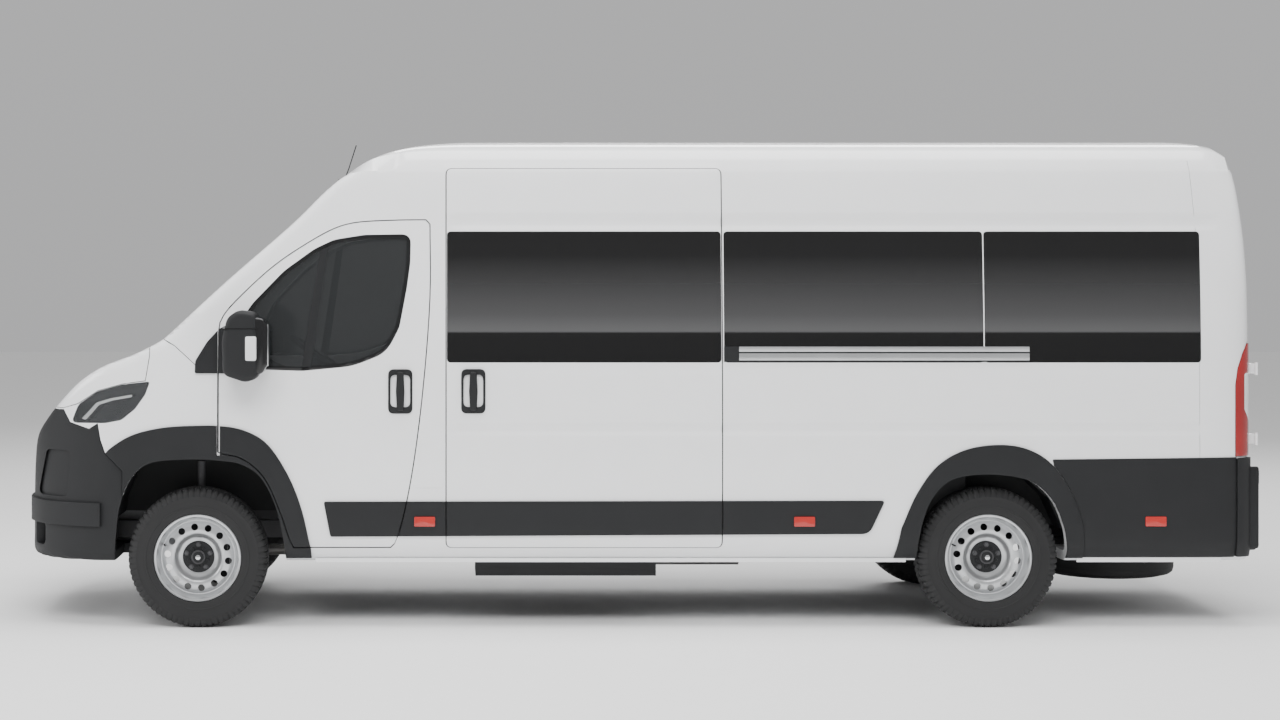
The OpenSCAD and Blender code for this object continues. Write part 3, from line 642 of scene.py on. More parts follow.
def side_prism(points):
    """An outline cut through the left side only."""
    return prism(points, 0.55, 1.4, "side")


def slab(x0, x1, y0, y1, z0, z1):
    return box_object("slab", (x0, y0, z0), (x1, y1, z1))


def plane_rect(x0, x1, z0, z1, r=0.0):
    pts = [(x0, z0), (x1, z0), (x1, z1), (x0, z1)]
    return rounded(pts, r) if r else pts


# ---- panels of one side, mirrored to the other -------------------------------------------
def windows_of():
    """The outlines of the three fixed windows of a side, front to back."""
    back_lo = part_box("side_glass")[0]
    split = X_RA + 0.025
    first = plane_rect(SLIDE_LO.x + 0.006, SLIDE_HI.x - 0.006, WIN_LO, WIN_HI, 0.02)
    second = plane_rect(split + 0.004, SLIDE_LO.x - 0.010, WIN_LO, WIN_HI, 0.02)
    third = plane_rect(back_lo.x, split - 0.004, WIN_LO, WIN_HI, 0.02)
    return [first, second, third]


WINDOWS = windows_of()
roof_cut = prism(ROOF_ZONE, -2, 2)
screen_cut = prism(SCREEN_CUT, -SCREEN_HALF, SCREEN_HALF)
arch_f = side_prism(FRONT_ARCH)
arch_r = side_prism(REAR_ARCH)
door_hole = side_prism(grown(DOOR, GAP))
door_solid = side_prism(grown(DOOR, -GAP))
lamp_hole = side_prism(grown(LAMP, 0.002))
tail_hole = prism(grown(TAIL, 0.002), REAR_HALF + 0.008, 1.4)
bonnet_hole = prism(grown(BONNET, GAP), -2, 2)
bumper_hole = prism(grown(BUMPER, 0.002), -2, 2)
rear_opening = slab(BACK - 0.2, REAR_PLANE, -REAR_HALF - 0.004, REAR_HALF + 0.004, REAR_LOW - 0.004,
    REAR_TOP + 0.004)
slide_hole = side_prism(rounded(plane_rect(SLIDE_LO.x - GAP, SLIDE_HI.x + GAP, SLIDE_LO.z - GAP,
    SLIDE_HI.z + GAP), 0.035))
side_low = [(BACK - 0.1, 0.2), (F(-0.44), 0.2), (F(-0.44), 0.895),
    (EDGE_X, 0.9)] + WING_LINE[::-1] + [(F(0.30), 1.7), (F(0.0), 2.8), (BACK - 0.1, 2.8)]
side_zone = prism(side_low, 0.60, 1.4)
seam_line = prism([(F(-5.064), 2.45), (F(-5.097), 2.02), (F(-5.106), 1.33), (F(-5.106), 0.87),
    (F(-5.109), 0.87), (F(-5.109), 1.33), (F(-5.100), 2.02), (F(-5.067), 2.45)], 0.55, 1.4)
seam_depth = shell_between(0.01, -0.007, "seam_skin", False)
seam = panel("seam", seam_depth, [seam_line])


def side_panel(name, slide):
    cuts = [roof_cut, screen_cut, door_hole, arch_f, arch_r, rear_opening, tail_hole, seam]
    cuts += [side_prism(grown(w, 0.0015)) for w in WINDOWS[1:]]
    cuts.append(slide_hole if slide else side_prism(grown(WINDOWS[0], 0.0015)))
    return panel(name, SKIN, [side_zone], cuts)


def pair(stem, o, slot, on="body", left=(), right=(), mark=""):
    """Places o, made on the left, and its mirror image. on names a body or a left and a right one."""
    names = [stem + "_left" + mark, stem + "_right" + mark]
    bodies = ["body"] * 2 if on == "body" else ["left_" + on, "right_" + on]
    twin = mirror_copy(o, names[1])
    o.name = o.data.name = names[0]
    place(o, bodies[0], slot, *left)
    place(twin, bodies[1], slot, *right)


left_side = side_panel("body_left", True)
place(left_side, "body", "paint", "left_side")
right_side = mirror_copy(side_panel("body_right_mirror", False), "body_right")
discard(bpy.data.objects["body_right_mirror"])
place(right_side, "body", "paint", "right_side")

roof = panel("roof_skin", SKIN, [roof_cut], [screen_cut, rear_opening])
place(roof, "body", "paint", "roof")

wing_zone = prism([(F(-0.438), 0.625), (F(-0.438), 0.90), (EDGE_X + GAP, 0.90), (EDGE_X + GAP, 1.311),
    (F(-0.014), 1.320), (F(0.118), 1.440), (F(0.32), 1.55), (NOSE + 0.1, 1.55), (NOSE + 0.1, 0.2),
    (EDGE_X + GAP, 0.2), (EDGE_X + GAP, 0.625)], 0.60, 1.4)
wing = panel("wing", SKIN, [wing_zone], [door_hole, screen_cut, arch_f, lamp_hole, bonnet_hole,
    bumper_hole])
pair("wing", wing, "paint", left=["front_wings"])

bonnet_zone = prism(grown(BONNET, -0.001), -2, 2)
bonnet = panel("bonnet_skin", SKIN, [bonnet_zone])
place(bonnet, "hood", "paint", "bonnet")

cowl_zone = slab(F(-0.25), F(0.242), -0.9, 0.9, 1.30, 1.80)
cowl_skin = shell_between(-0.006, -WALL, "cowl_skin", False)
cowl = panel("cowl_panel", cowl_skin, [cowl_zone], [screen_cut, wing_zone], TRIM)
wing_r = prism([(p[0], p[1]) for p in WING_LINE + [(EDGE_X, 0.2), (F(0.4), 0.2)]], -1.4, -0.60)
boolean(cowl, wing_r, "DIFFERENCE")
place(cowl, "body", "trim", "cowl")

front_door = panel("front_door", SKIN, [door_solid], [side_prism(DOOR_WINDOW), arch_f])
pair("front_door", front_door, "paint", "door", left=["left_front_door"], right=["right_front_door"])

slide_solid = side_prism(rounded(plane_rect(SLIDE_LO.x + GAP, SLIDE_HI.x - GAP, SLIDE_LO.z, SLIDE_HI.z),
    0.03))
sliding = panel("sliding_door_skin", SKIN, [slide_solid], [side_prism(grown(WINDOWS[0], 0.0015))])
place(sliding, "body", "paint", "sliding_door")

rear_solid = slab(BACK - 0.2, REAR_PLANE - 0.001, 0.003, REAR_HALF, REAR_LOW, REAR_TOP)
RGLASS_LO, RGLASS_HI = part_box("left_rear_glass")


def rear_rect(y0, y1, z0, z1, r, x0=BACK - 0.2, x1=REAR_PLANE):
    """A rounded outline in y and z, carried along x."""
    pts = rounded([(y0, z0), (y1, z0), (y1, z1), (y0, z1)], r)
    n = len(pts)
    verts = [(x0, y, z) for y, z in pts] + [(x1, y, z) for y, z in pts]
    faces = [tuple(range(n)), tuple(range(2 * n - 1, n - 1, -1))]
    faces += [(i, (i + 1) % n, n + (i + 1) % n, n + i) for i in range(n)]
    return new_object("rear_rect", verts, faces, smooth=False)


rear_window = rear_rect(RGLASS_LO.y, RGLASS_HI.y, RGLASS_LO.z, RGLASS_HI.z, 0.05)
rear_press = rear_rect(0.10, REAR_HALF - 0.08, REAR_LOW + 0.09, RGLASS_LO.z - 0.10, 0.05)
press_skin = shell_between(0.02, -0.008, "press_skin", False)
rear_recess = panel("recess", press_skin, [rear_press])
rear_door = panel("rear_door", SKIN, [rear_solid], [rear_window, rear_recess])
pair("rear_door", rear_door, "paint", "back_door", left=["left_rear_door"], right=["right_rear_door"])

# ---- glass ------------------------------------------------------------------------------
PANE = shell_between(-0.001, -0.008, "pane", False)
PANE_IN = shell_between(-0.004, -0.010, "pane_in", False)


def side_glass(name, outlines, source=PANE, mat=GLASS):
    panes = [panel(name + str(i), source, [side_prism(w)], mat=mat) for i, w in enumerate(outlines)]
    return join(name, panes) if len(panes) > 1 else panes[0]


left_glass = side_glass("side_windows_left", WINDOWS[1:])
place(left_glass, "body", "glass", "side_glass")
right_glass = side_glass("side_windows_temp", WINDOWS)
right_glass_m = mirror_copy(right_glass, "side_windows_right")
discard(right_glass)
place(right_glass_m, "body", "glass")
place(side_glass("sliding_door_window", WINDOWS[:1]), "body", "glass", "sliding_door_glass")
door_glass = side_glass("door_window", [grown(DOOR_WINDOW, -0.004)], PANE_IN, CAB_GLASS)
pair("door_window", door_glass, "glass", "door", left=["left_door_glass"], right=["right_door_glass"])
rear_pane = panel("rear_window", PANE, [rear_rect(RGLASS_LO.y + 0.0015, RGLASS_HI.y - 0.0015, RGLASS_LO.z
    + 0.0015, RGLASS_HI.z - 0.0015, 0.05)], mat=GLASS)
pair("rear_window", rear_pane, "glass", "back_door", left=["left_rear_glass"], right=["right_rear_glass"])
screen_solid = prism(SCREEN_CUT, -SCREEN_HALF + 0.002, SCREEN_HALF - 0.002)
windscreen = panel("windscreen_glass", PANE, [screen_solid], mat=CAB_GLASS)
place(windscreen, "body", "glass", "windscreen")
band_skin = shell_between(-0.0085, -0.0095, "band_skin", False)
inner_screen = prism(SCREEN_CUT, -SCREEN_HALF + 0.075, SCREEN_HALF - 0.075)
band_low = prism([(F(0.4), 1.2), (F(0.4), 1.57), (F(-0.1), 1.57), (F(-0.1), 1.2)], -1, 1)
band_high = prism([(F(-0.3), 2.21), (F(-0.9), 2.21), (F(-0.9), 2.5), (F(-0.3), 2.5)], -1, 1)
sides_band = panel("screen_band_sides", band_skin, [screen_solid], [inner_screen], GLOSS_BLACK)
low_band = panel("screen_band_low", band_skin, [screen_solid, band_low], [], GLOSS_BLACK)
high_band = panel("screen_band_high", band_skin, [screen_solid, band_high], [], GLOSS_BLACK)
for o in (sides_band, low_band, high_band):
    place(o, "body", "trim")

# ---- black cladding, a thin skin proud of the body ---------------------------------------
CLAD = shell_between(0.011, -0.004, "clad", False)
CLAD_LOW = shell_between(0.006, -0.004, "clad_low", False)


def clad(name, keep, cuts, source=None, edge=0.004, mat=TRIM):
    return panel(name, source or CLAD, keep, cuts, mat, edge)


arch_out_f = side_prism(FRONT_ARCH_OUT)
arch_out_r = side_prism(REAR_ARCH_OUT)
low_cut = slab(-4, 4, 0.5, 1.4, 0.0, 0.352)
# the proud cladding needs more room than the skin where the door swings past it
swing_room = slab(FRONT_EDGE - 0.009, FRONT_EDGE + 0.007, 0.5, 1.4, 0.882, 1.06)
arch_body = clad("arch_front", [arch_out_f], [arch_f, door_hole, bumper_hole, low_cut, swing_room])
pair("arch_front", arch_body, "trim")
arch_door = clad("arch_door", [arch_out_f, door_solid], [arch_f, swing_room])
pair("arch_door", arch_door, "trim", "door")
arch_rear = clad("arch_rear", [arch_out_r], [arch_r, low_cut])
pair("arch_rear", arch_rear, "trim")
quarter = clad("quarter_clad", [side_prism(QUARTER)], [side_prism(grown(REAR_ARCH_OUT, 0.002))], CLAD_LOW)
pair("quarter_clad", quarter, "trim")

strip_solid = side_prism(STRIP)
strip_door = clad("strip_door", [strip_solid, door_solid], [])
pair("strip_door", strip_door, "trim", "door")
strip_slide = clad("strip_slide", [strip_solid, slide_solid], [])
place(strip_slide, "body", "trim")
strip_body = clad("strip_body_left", [strip_solid], [door_hole, slide_hole])
place(strip_body, "body", "trim")
strip_right_t = clad("strip_body_temp", [strip_solid], [door_hole])
strip_right = mirror_copy(strip_right_t, "strip_body_right")
discard(strip_right_t)
place(strip_right, "body", "trim")

# ---- front bumper and grille ------------------------------------------------------------
BUMP = shell_between(0.0, -WALL, "bump", False)
pocket = prism(rounded([(F(0.66), 0.90), (F(0.80), 0.90), (F(0.86), 0.66), (F(0.68), 0.66)], 0.03), 0.50,
    1.4)
pocket_skin = shell_between(0.03, -0.012, "pocket_skin", False)
pocket_tool = panel("pocket", pocket_skin, [pocket])
pocket_right = mirror_copy(pocket_tool, "pocket_right")


def front_rect(y0, y1, z0, z1, r):
    return rear_rect(y0, y1, z0, z1, r, F(0.5), NOSE + 0.2)


upper_grille = front_rect(-0.50, 0.50, 0.86, 1.06, 0.04)
lower_grille = front_rect(-0.55, 0.55, 0.40, 0.60, 0.05)
fog_hole = front_rect(0.62, 0.76, 0.40, 0.52, 0.03)
fog_hole_r = front_rect(-0.76, -0.62, 0.40, 0.52, 0.03)
bumper_zone = prism(grown(BUMPER, -0.001), -2, 2)
arch_f_r = prism(FRONT_ARCH, -1.4, -0.55)
bumper = panel("front_bumper_skin", BUMP, [bumper_zone], [arch_f, arch_f_r, pocket_tool, pocket_right,
    upper_grille, lower_grille, fog_hole, fog_hole_r], TRIM, 0.003)
place(bumper, "body", "trim", "front_bumper")

lip = panel("bumper_lip", shell_between(0.017, -0.008, "lip_skin", False),
    [slab(F(0.50), NOSE + 0.1, -1.2, 1.2, 0.515, 0.635)], [arch_f, arch_f_r, lower_grille], TRIM, 0.006)
place(lip, "body", "trim")
GRILLE = shell_between(-0.010, -0.030, "grille_skin", False)
BEHIND = shell_between(-0.040, -0.044, "behind_skin", False)
wide_upper = front_rect(-0.505, 0.505, 0.855, 1.065, 0.04)
wide_lower = front_rect(-0.555, 0.555, 0.395, 0.605, 0.05)
slot_cuts = [slab(F(0.5), NOSE + 0.2, -1, 1, z, z + 0.024) for z in np.arange(0.872, 1.05, 0.036)]
upper_bars = panel("upper_grille_bars", GRILLE, [wide_upper], slot_cuts, GLOSS_BLACK, 0.0015)
place(upper_bars, "body", "trim")
low_cuts = [slab(F(0.5), NOSE + 0.2, -1, 1, z, z + 0.028) for z in np.arange(0.412, 0.58, 0.045)]
lower_bars = panel("lower_grille_bars", GRILLE, [wide_lower], low_cuts, TRIM, 0.0015)
place(lower_bars, "body", "trim")
for name, tool in (("upper_grille_back", wide_upper), ("lower_grille_back", wide_lower)):
    place(panel(name, BEHIND, [tool], mat=GLOSS_BLACK, edge=0), "body", "trim")


# ---- round and swept parts --------------------------------------------------------------
def lathe(name, points, steps, mat, centre=(0, 0, 0), offset=None, closed=True):
    """Turns (radius, y) points about y. offset(i, j) moves a point out from the axis."""
    n = len(points)
    verts = []
    for j in range(steps):
        a = 2 * math.pi * j / steps
        for i, (r, y) in enumerate(points):
            r2 = r + (offset(i, j) if offset else 0.0)
            verts.append((centre[0] + r2 * math.cos(a), centre[1] + y, centre[2] + r2 * math.sin(a)))
    faces = []
    for j in range(steps):
        k = (j + 1) % steps
        for i in range(n if closed else n - 1):
            m = (i + 1) % n
            faces.append((j * n + i, j * n + m, k * n + m, k * n + i))
    if not closed:
        faces.append(tuple(j * n for j in range(steps)))
        faces.append(tuple(j * n + n - 1 for j in range(steps))[::-1])
    return new_object(name, verts, faces, mat)


def tube(name, path, r, mat, sides=8):
    """A round bar along a line of points."""
    p = [Vector(v) for v in path]
    verts, faces = [], []
    for i, v in enumerate(p):
        d = (p[min(i + 1, len(p) - 1)] - p[max(i - 1, 0)]).normalized()
        u = d.cross(Vector((0.13, 0.31, 0.94))).normalized()
        w = d.cross(u)
        for k in range(sides):
            a = 2 * math.pi * k / sides
            verts.append(v + (u * math.cos(a) + w * math.sin(a)) * r)
    for i in range(len(p) - 1):
        for k in range(sides):
            m = (k + 1) % sides
            faces.append((i * sides + k, i * sides + m, (i + 1) * sides + m, (i + 1) * sides + k))
    faces += [tuple(range(sides)), tuple(range(len(verts) - sides, len(verts)))[::-1]]
    return new_object(name, verts, faces, mat)


def plate(name, outline, y0, y1, mat, edge=0.003, segments=2):
    """An outline in x and z between two values of y, with softened edges."""
    o = prism(outline, y0, y1, name)
    o.data.materials.clear()
    o.data.materials.append(mat)
    if edge:
        bevel(o, edge, segments)
    return o


def move(o, x, y, z):
    o.data.transform(Matrix.Translation((x, y, z)))
    return o


# ---- wheels ----------------------------------------------------------------------------
HALF_TREAD = [(0.206, 0.086), (0.2235, 0.0945), (0.2265, 0.1035), (0.236, 0.1065), (0.258, 0.1073),
    (0.2605, 0.1093), (0.266, 0.1093), (0.268, 0.1073), (0.290, 0.1062), (0.308, 0.1030),
    (0.3115, 0.1040), (0.318, 0.1025), (0.328, 0.0985), (0.336, 0.0945), (0.345, 0.0880),
    (0.3515, 0.0790), (0.3552, 0.0690), (0.3567, 0.0560), (0.357, 0.0440), (0.349, 0.0425),
    (0.349, 0.0360), (0.357, 0.0345), (0.357, 0.0200), (0.357, 0.0055), (0.349, 0.0040)]
TREAD = [(r, -y) for r, y in HALF_TREAD] + HALF_TREAD[::-1]
TREAD += [(0.200, 0.06), (0.199, 0.0), (0.200, -0.06)]


def tread_offset(i, j):
    r, y = TREAD[i]
    a = abs(y)
    if a > 0.043 and 0.316 < r:
        return -0.0075 if j % 4 == 0 else 0.0
    if r > 0.352 and 0.01 < a < 0.03:
        return -0.006 if (j + (1 if y > 0 else 2)) % 4 == 0 else 0.0
    return 0.0


RIM = [(0.2225, 0.0865), (0.2232, 0.0985), (0.2185, 0.1018), (0.2105, 0.0995), (0.2045, 0.0890),
    (0.2000, 0.0740), (0.1960, 0.0590), (0.1905, 0.0490), (0.1850, 0.0490), (0.1780, 0.0560),
    (0.1680, 0.0640), (0.1560, 0.0685), (0.1420, 0.0705), (0.1300, 0.0700), (0.1215, 0.0650),
    (0.1150, 0.0550), (0.1090, 0.0430), (0.1020, 0.0345), (0.0930, 0.0310), (0.0360, 0.0310),
    (0.0360, 0.0220), (0.0960, 0.0220), (0.1080, 0.0270), (0.1180, 0.0400), (0.1260, 0.0560),
    (0.1360, 0.0620), (0.1560, 0.0600), (0.1700, 0.0540), (0.1840, 0.0400), (0.1920, 0.0320),
    (0.1900, 0.0), (0.1860, -0.0500), (0.1960, -0.0720), (0.2120, -0.0850), (0.2140, -0.1015),
    (0.2225, -0.1015), (0.2225, -0.0920), (0.2030, -0.0800), (0.1980, -0.0600), (0.1985, 0.0400),
    (0.2040, 0.0650), (0.2090, 0.0800)]


def make_rim():
    rim = lathe("rim_steel", RIM, 112, STEEL)
    pins = []
    for k in range(14):
        a = 2 * math.pi * (k + 0.25) / 14
        pins.append(lathe("pin", [(0.0178, 0.035), (0.0178, 0.09)], 24, STEEL,
            (0.156 * math.cos(a), 0, 0.156 * math.sin(a)), closed=False))
    tool = join("pins", pins)
    boolean(rim, tool, "DIFFERENCE")
    discard(tool)
    shade(rim, 35)
    parts = [rim]
    parts.append(lathe("hub", [(0.0005, 0.0705), (0.017, 0.0700), (0.026, 0.0660), (0.030, 0.0560),
        (0.032, 0.0440), (0.047, 0.0410), (0.078, 0.0400), (0.081, 0.0340), (0.080, 0.0300),
        (0.036, 0.0230), (0.0005, 0.0230)], 48, TRIM, closed=False))
    parts.append(lathe("cap", [(0.0005, 0.0745), (0.009, 0.0740), (0.0125, 0.0720), (0.0130, 0.0690),
        (0.0005, 0.0690)], 24, CHROME, closed=False))
    for k in range(5):
        a = 2 * math.pi * (k + 0.25) / 5
        c = (0.0625 * math.cos(a), 0, 0.0625 * math.sin(a))
        parts.append(lathe("nut", [(0.0005, 0.0590), (0.0085, 0.0590), (0.0112, 0.0560), (0.0112, 0.0430),
            (0.0145, 0.0410), (0.0145, 0.0380), (0.0005, 0.0380)], 6, CHASSIS, c, closed=False))
        c2 = (0.050 * math.cos(a + 0.63), 0, 0.050 * math.sin(a + 0.63))
        parts.append(lathe("hub_rib", [(0.0005, 0.0470), (0.0080, 0.0460), (0.0100, 0.0420),
            (0.0100, 0.0380), (0.0005, 0.0380)], 12, TRIM, c2, closed=False))
    a = 0.35
    parts.append(tube("valve", [(0.186 * math.cos(a), 0.050, 0.186 * math.sin(a)),
        (0.178 * math.cos(a), 0.082, 0.178 * math.sin(a))], 0.004, RUBBER))
    return join("rim_parts", parts)


tyre0 = lathe("tyre0", TREAD, 280, RUBBER, offset=tread_offset)
shade(tyre0, 28)
rim0 = make_rim()
for name, x, side in (("front_left", X_FA, 1), ("front_right", X_FA, -1), ("rear_left", X_RA, 1),
        ("rear_right", X_RA, -1)):
    for source, kind, slot_name in ((tyre0, "tyre", "tyre"), (rim0, "rim", "rim")):
        if side > 0:
            o = source.copy()
            o.data = source.data.copy()
            bpy.context.scene.collection.objects.link(o)
            o.name = name + "_" + kind + "_skin"
        else:
            o = mirror_copy(source, name + "_" + kind + "_skin")
        move(o, x, side * WHEEL_Y, TYRE_R)
        place(o, name + "_wheel", slot_name, name + "_" + kind)
discard(tyre0, rim0)

# ---- headlamps -------------------------------------------------------------------------
LENS = shell_between(0.0005, -0.0035, "lens_skin", False)
LAMP_WALL = shell_between(-0.0045, -0.055, "lamp_wall_skin", False)
LAMP_BACK = shell_between(-0.055, -0.060, "lamp_back_skin", False)
GUIDE = shell_between(-0.012, -0.022, "guide_skin", False)
lamp_keep = side_prism(grown(LAMP, -0.0015))
lens = panel("headlamp_lens", LENS, [lamp_keep], mat=CLEAR, edge=0.001)
pair("headlamp_lens", lens, "lamp_clear", left=["headlamps"])
wall_p = panel("headlamp_wall", LAMP_WALL, [lamp_keep], [side_prism(grown(LAMP, -0.006))], GLOSS_BLACK, 0)
pair("headlamp_wall", wall_p, "lamp_clear")
back_p = panel("headlamp_back", LAMP_BACK, [lamp_keep], mat=GLOSS_BLACK, edge=0)
pair("headlamp_back", back_p, "lamp_clear")
upper_mask = side_prism([(F(0.20), 1.28), (F(0.20), 1.215), (F(0.45), 1.185), (F(0.70), 1.10),
    (F(0.70), 1.28)])
mask = panel("headlamp_mask", GUIDE, [side_prism(grown(LAMP, -0.004)), upper_mask], mat=GLOSS_BLACK,
    edge=0.001)
pair("headlamp_mask", mask, "lamp_clear")
GUIDE_LINE = front([(0.60, 1.065), (0.565, 1.10), (0.52, 1.148), (0.44, 1.172), (0.335, 1.19),
    (0.335, 1.178), (0.435, 1.160), (0.508, 1.136), (0.548, 1.09), (0.58, 1.058)])
guide = panel("headlamp_guide", shell_between(-0.008, -0.02, "guide2", False), [side_prism(GUIDE_LINE)],
    mat=WHITE_LENS, edge=0.001)
pair("headlamp_guide", guide, "lamp_clear")
for k, (x, y, z, r) in enumerate(((0.545, 0.80, 1.09, 0.030), (0.455, 0.88, 1.115, 0.028))):
    o = lathe("projector", [(0.0005, 0.030), (r * 0.5, 0.027), (r * 0.85, 0.016), (r, 0.0),
        (r * 1.15, -0.002), (r * 1.15, -0.012), (r, -0.03), (0.0005, -0.03)], 32, REFLECTOR, closed=False)
    o.data.transform(Matrix.Rotation(math.radians(-58), 4, "Z"))
    move(o, F(x), y, z)
    pair("projector", o, "lamp_clear", mark=str(k))

# ---- tail lamps ------------------------------------------------------------------------
TAIL_SKIN = shell_between(0.006, -0.03, "tail_skin", False)
tail_keep = prism(grown(TAIL, -0.001), REAR_HALF + 0.009, 1.4)
clear_zone = prism(rounded([(BACK - 0.1, 1.30), (BACK + 0.088, 1.30), (BACK + 0.088, 1.115),
    (BACK + 0.05, 1.045), (BACK - 0.1, 1.045)], [0, 0.015, 0.02, 0.02, 0]), 0.5, 1.4)
red = panel("tail_lamp_red", TAIL_SKIN, [tail_keep], [clear_zone], RED, 0.003)
pair("tail_lamp_red", red, "lamp_red", left=["tail_lamps"])
white_p = panel("tail_lamp_clear", TAIL_SKIN, [tail_keep, clear_zone], mat=WHITE_LENS, edge=0.002)
pair("tail_lamp_clear", white_p, "lamp_red")

# ---- handles, flap, markers ------------------------------------------------------------
def handle(name, x, z, both):
    """A door pull in its cup, on both front doors or only on the left side of the body."""
    cup = plate(name, plane_rect(x - 0.062, x + 0.062, z - 0.113, z + 0.113, 0.03), HALF - 0.03, HALF
        + 0.006, TRIM, 0.004)
    pocket_cut = plate("cut", plane_rect(x - 0.050, x + 0.050, z - 0.08, z + 0.085, 0.028), HALF - 0.02,
        HALF + 0.02, TRIM, 0)
    boolean(cup, pocket_cut, "DIFFERENCE")
    discard(pocket_cut)
    grip = plate("grip", rounded([(x - 0.017, z - 0.098), (x + 0.017, z - 0.098), (x + 0.022, z + 0.0),
        (x + 0.017, z + 0.100), (x - 0.017, z + 0.100), (x - 0.022, z + 0.0)], 0.014), HALF + 0.002, HALF
        + 0.026, TRIM, 0.007, 3)
    foot = lathe("lock", [(0.0005, 0.0), (0.014, 0.0), (0.017, -0.004), (0.017, -0.03), (0.0005, -0.03)],
        24, GLOSS_BLACK, (x, HALF + 0.010, z - 0.066), closed=False)
    o = join(name, [cup, grip, foot])
    if both:
        pair(name, o, "trim", "door")
    else:
        place(o, "body", "trim")


handle("front_handle", F(-1.035), 1.208, True)
handle("sliding_handle", F(-1.407), 1.209, False)

flap_out = front([(-1.134, 0.967), (-1.259, 0.967), (-1.258, 0.711), (-1.098, 0.711)])
flap = panel("fuel_flap", shell_between(0.0012, -0.003, "flap_skin", False),
    [side_prism(rounded(grown(flap_out, -0.004), 0.012))], mat=PAINT, edge=0.0008)
place(flap, "body", "paint")
for k, x in enumerate((-1.159, -3.092, -4.882)):
    m = plate("marker" + str(k), plane_rect(F(x) - 0.053, F(x) + 0.053, 0.521, 0.571, 0.006), HALF - 0.03,
        HALF + (0.010 if k == 2 else 0.0145), MARKER, 0.002)
    if k == 2:
        move(m, 0, -0.006, 0)
    pair("marker", m, "lamp_red", mark=str(k))

# ---- mirrors and their patches ---------------------------------------------------------
PATCH = front(rounded([(0.012, 1.300), (0.008, 1.365), (-0.052, 1.462), (-0.118, 1.533), (-0.20, 1.56),
    (-0.24, 1.56), (-0.24, 1.300)], [0.012, 0.04, 0.1, 0.1, 0.03, 0.01, 0.01]))
patch_keep = side_prism(PATCH)
patch_body = clad("mirror_patch_body", [patch_keep, side_prism(plane_rect(EDGE_X + 0.001, F(0.1), 1.2,
    1.7))], [door_hole])
pair("mirror_patch_front", patch_body, "trim")
patch_door = clad("mirror_patch_door", [patch_keep, door_solid], [])
pair("mirror_patch", patch_door, "trim", "door")

HEAD = front(rounded([(-0.148, 1.300), (-0.143, 1.475), (-0.170, 1.590), (-0.225, 1.625), (-0.318, 1.615),
    (-0.330, 1.45), (-0.328, 1.285), (-0.262, 1.263)], [0.05, 0.2, 0.08, 0.06, 0.04, 0.2, 0.05, 0.07]))
head = plate("mirror_head", HEAD, HALF + 0.055, 1.252, TRIM, 0.030, 5)
back = plate("mirror_back", front(rounded([(-0.29, 1.305), (-0.29, 1.592), (-0.352, 1.585),
    (-0.374, 1.54), (-0.371, 1.35), (-0.345, 1.305)], 0.03)), HALF + 0.066, 1.244, GLOSS_BLACK, 0.016, 4)
pane_o = box_object("mirror_pane", (F(-0.3765), HALF + 0.088, 1.345), (F(-0.370), 1.222, 1.555), CHROME,
    0.003, 2)
arm = plate("mirror_arm", front(rounded([(-0.150, 1.335), (-0.165, 1.440), (-0.250, 1.462),
    (-0.310, 1.440), (-0.315, 1.350), (-0.240, 1.318)], 0.03)), HALF - 0.05, HALF + 0.09, TRIM, 0.012, 3)
line = plate("mirror_line", front(rounded([(-0.146, 1.530), (-0.146, 1.536), (-0.322, 1.536),
    (-0.322, 1.530)], 0.001)), HALF + 0.10, 1.2535, GLOSS_BLACK, 0)
lamp_w = plate("mirror_lamp", front(rounded([(-0.262, 1.372), (-0.262, 1.495), (-0.318, 1.495),
    (-0.318, 1.372)], 0.012)), 1.19, 1.2545, WHITE_LENS, 0.004, 2)
mirror_o = join("mirror", [head, back, pane_o, arm, line, lamp_w])
pair("mirror", mirror_o, "trim", "door", left=["left_mirror"], right=["right_mirror"])

# ---- door window frame and quarter bar --------------------------------------------------
FRAME_SKIN = shell_between(-0.0005, -0.014, "frame_skin", False)
frame_ring = panel("door_window_frame", FRAME_SKIN, [side_prism(grown(DOOR_WINDOW, -0.0012))],
    [side_prism(grown(DOOR_WINDOW, -0.020))], GLOSS_BLACK, 0.001)
bar_line = front([(-0.640, 2.02), (-0.676, 2.02), (-0.572, 1.28), (-0.525, 1.28)])
bar = panel("door_window_bar", FRAME_SKIN, [side_prism(bar_line), side_prism(grown(DOOR_WINDOW, -0.003))],
    mat=TRIM, edge=0.001)
pair("door_frame", join("door_frame", [frame_ring, bar]), "trim", "door")
FRIT = shell_between(-0.0082, -0.0092, "frit_skin", False)


def frit(name, outlines):
    bits = []
    for k, w in enumerate(outlines):
        x0, x1 = min(p[0] for p in w), max(p[0] for p in w)
        inner = plane_rect(x0 + 0.035, x1 - 0.035, 1.515, WIN_HI - 0.035, 0.03)
        bits.append(panel(name + str(k), FRIT, [side_prism(w)], [side_prism(inner)], GLOSS_BLACK, 0))
    return join(name, bits) if len(bits) > 1 else bits[0]


place(frit("frit_left", WINDOWS[1:]), "body", "glass")
place(frit("frit_slide", WINDOWS[:1]), "body", "glass")
frit_t = frit("frit_temp", WINDOWS)
place(mirror_copy(frit_t, "frit_right"), "body", "glass")
discard(frit_t)

# ---- dark seals in the door gaps -------------------------------------------------------
SEAL = shell_between(-0.004, -0.022, "seal_skin", False)


def seal(name, outer, inner, cuts=()):
    return panel(name, SEAL, [side_prism(outer)], [side_prism(inner)] + list(cuts), RUBBER)


def slide_outline(d):
    return rounded(plane_rect(SLIDE_LO.x - d, SLIDE_HI.x + d, SLIDE_LO.z - d, SLIDE_HI.z + d), 0.032)


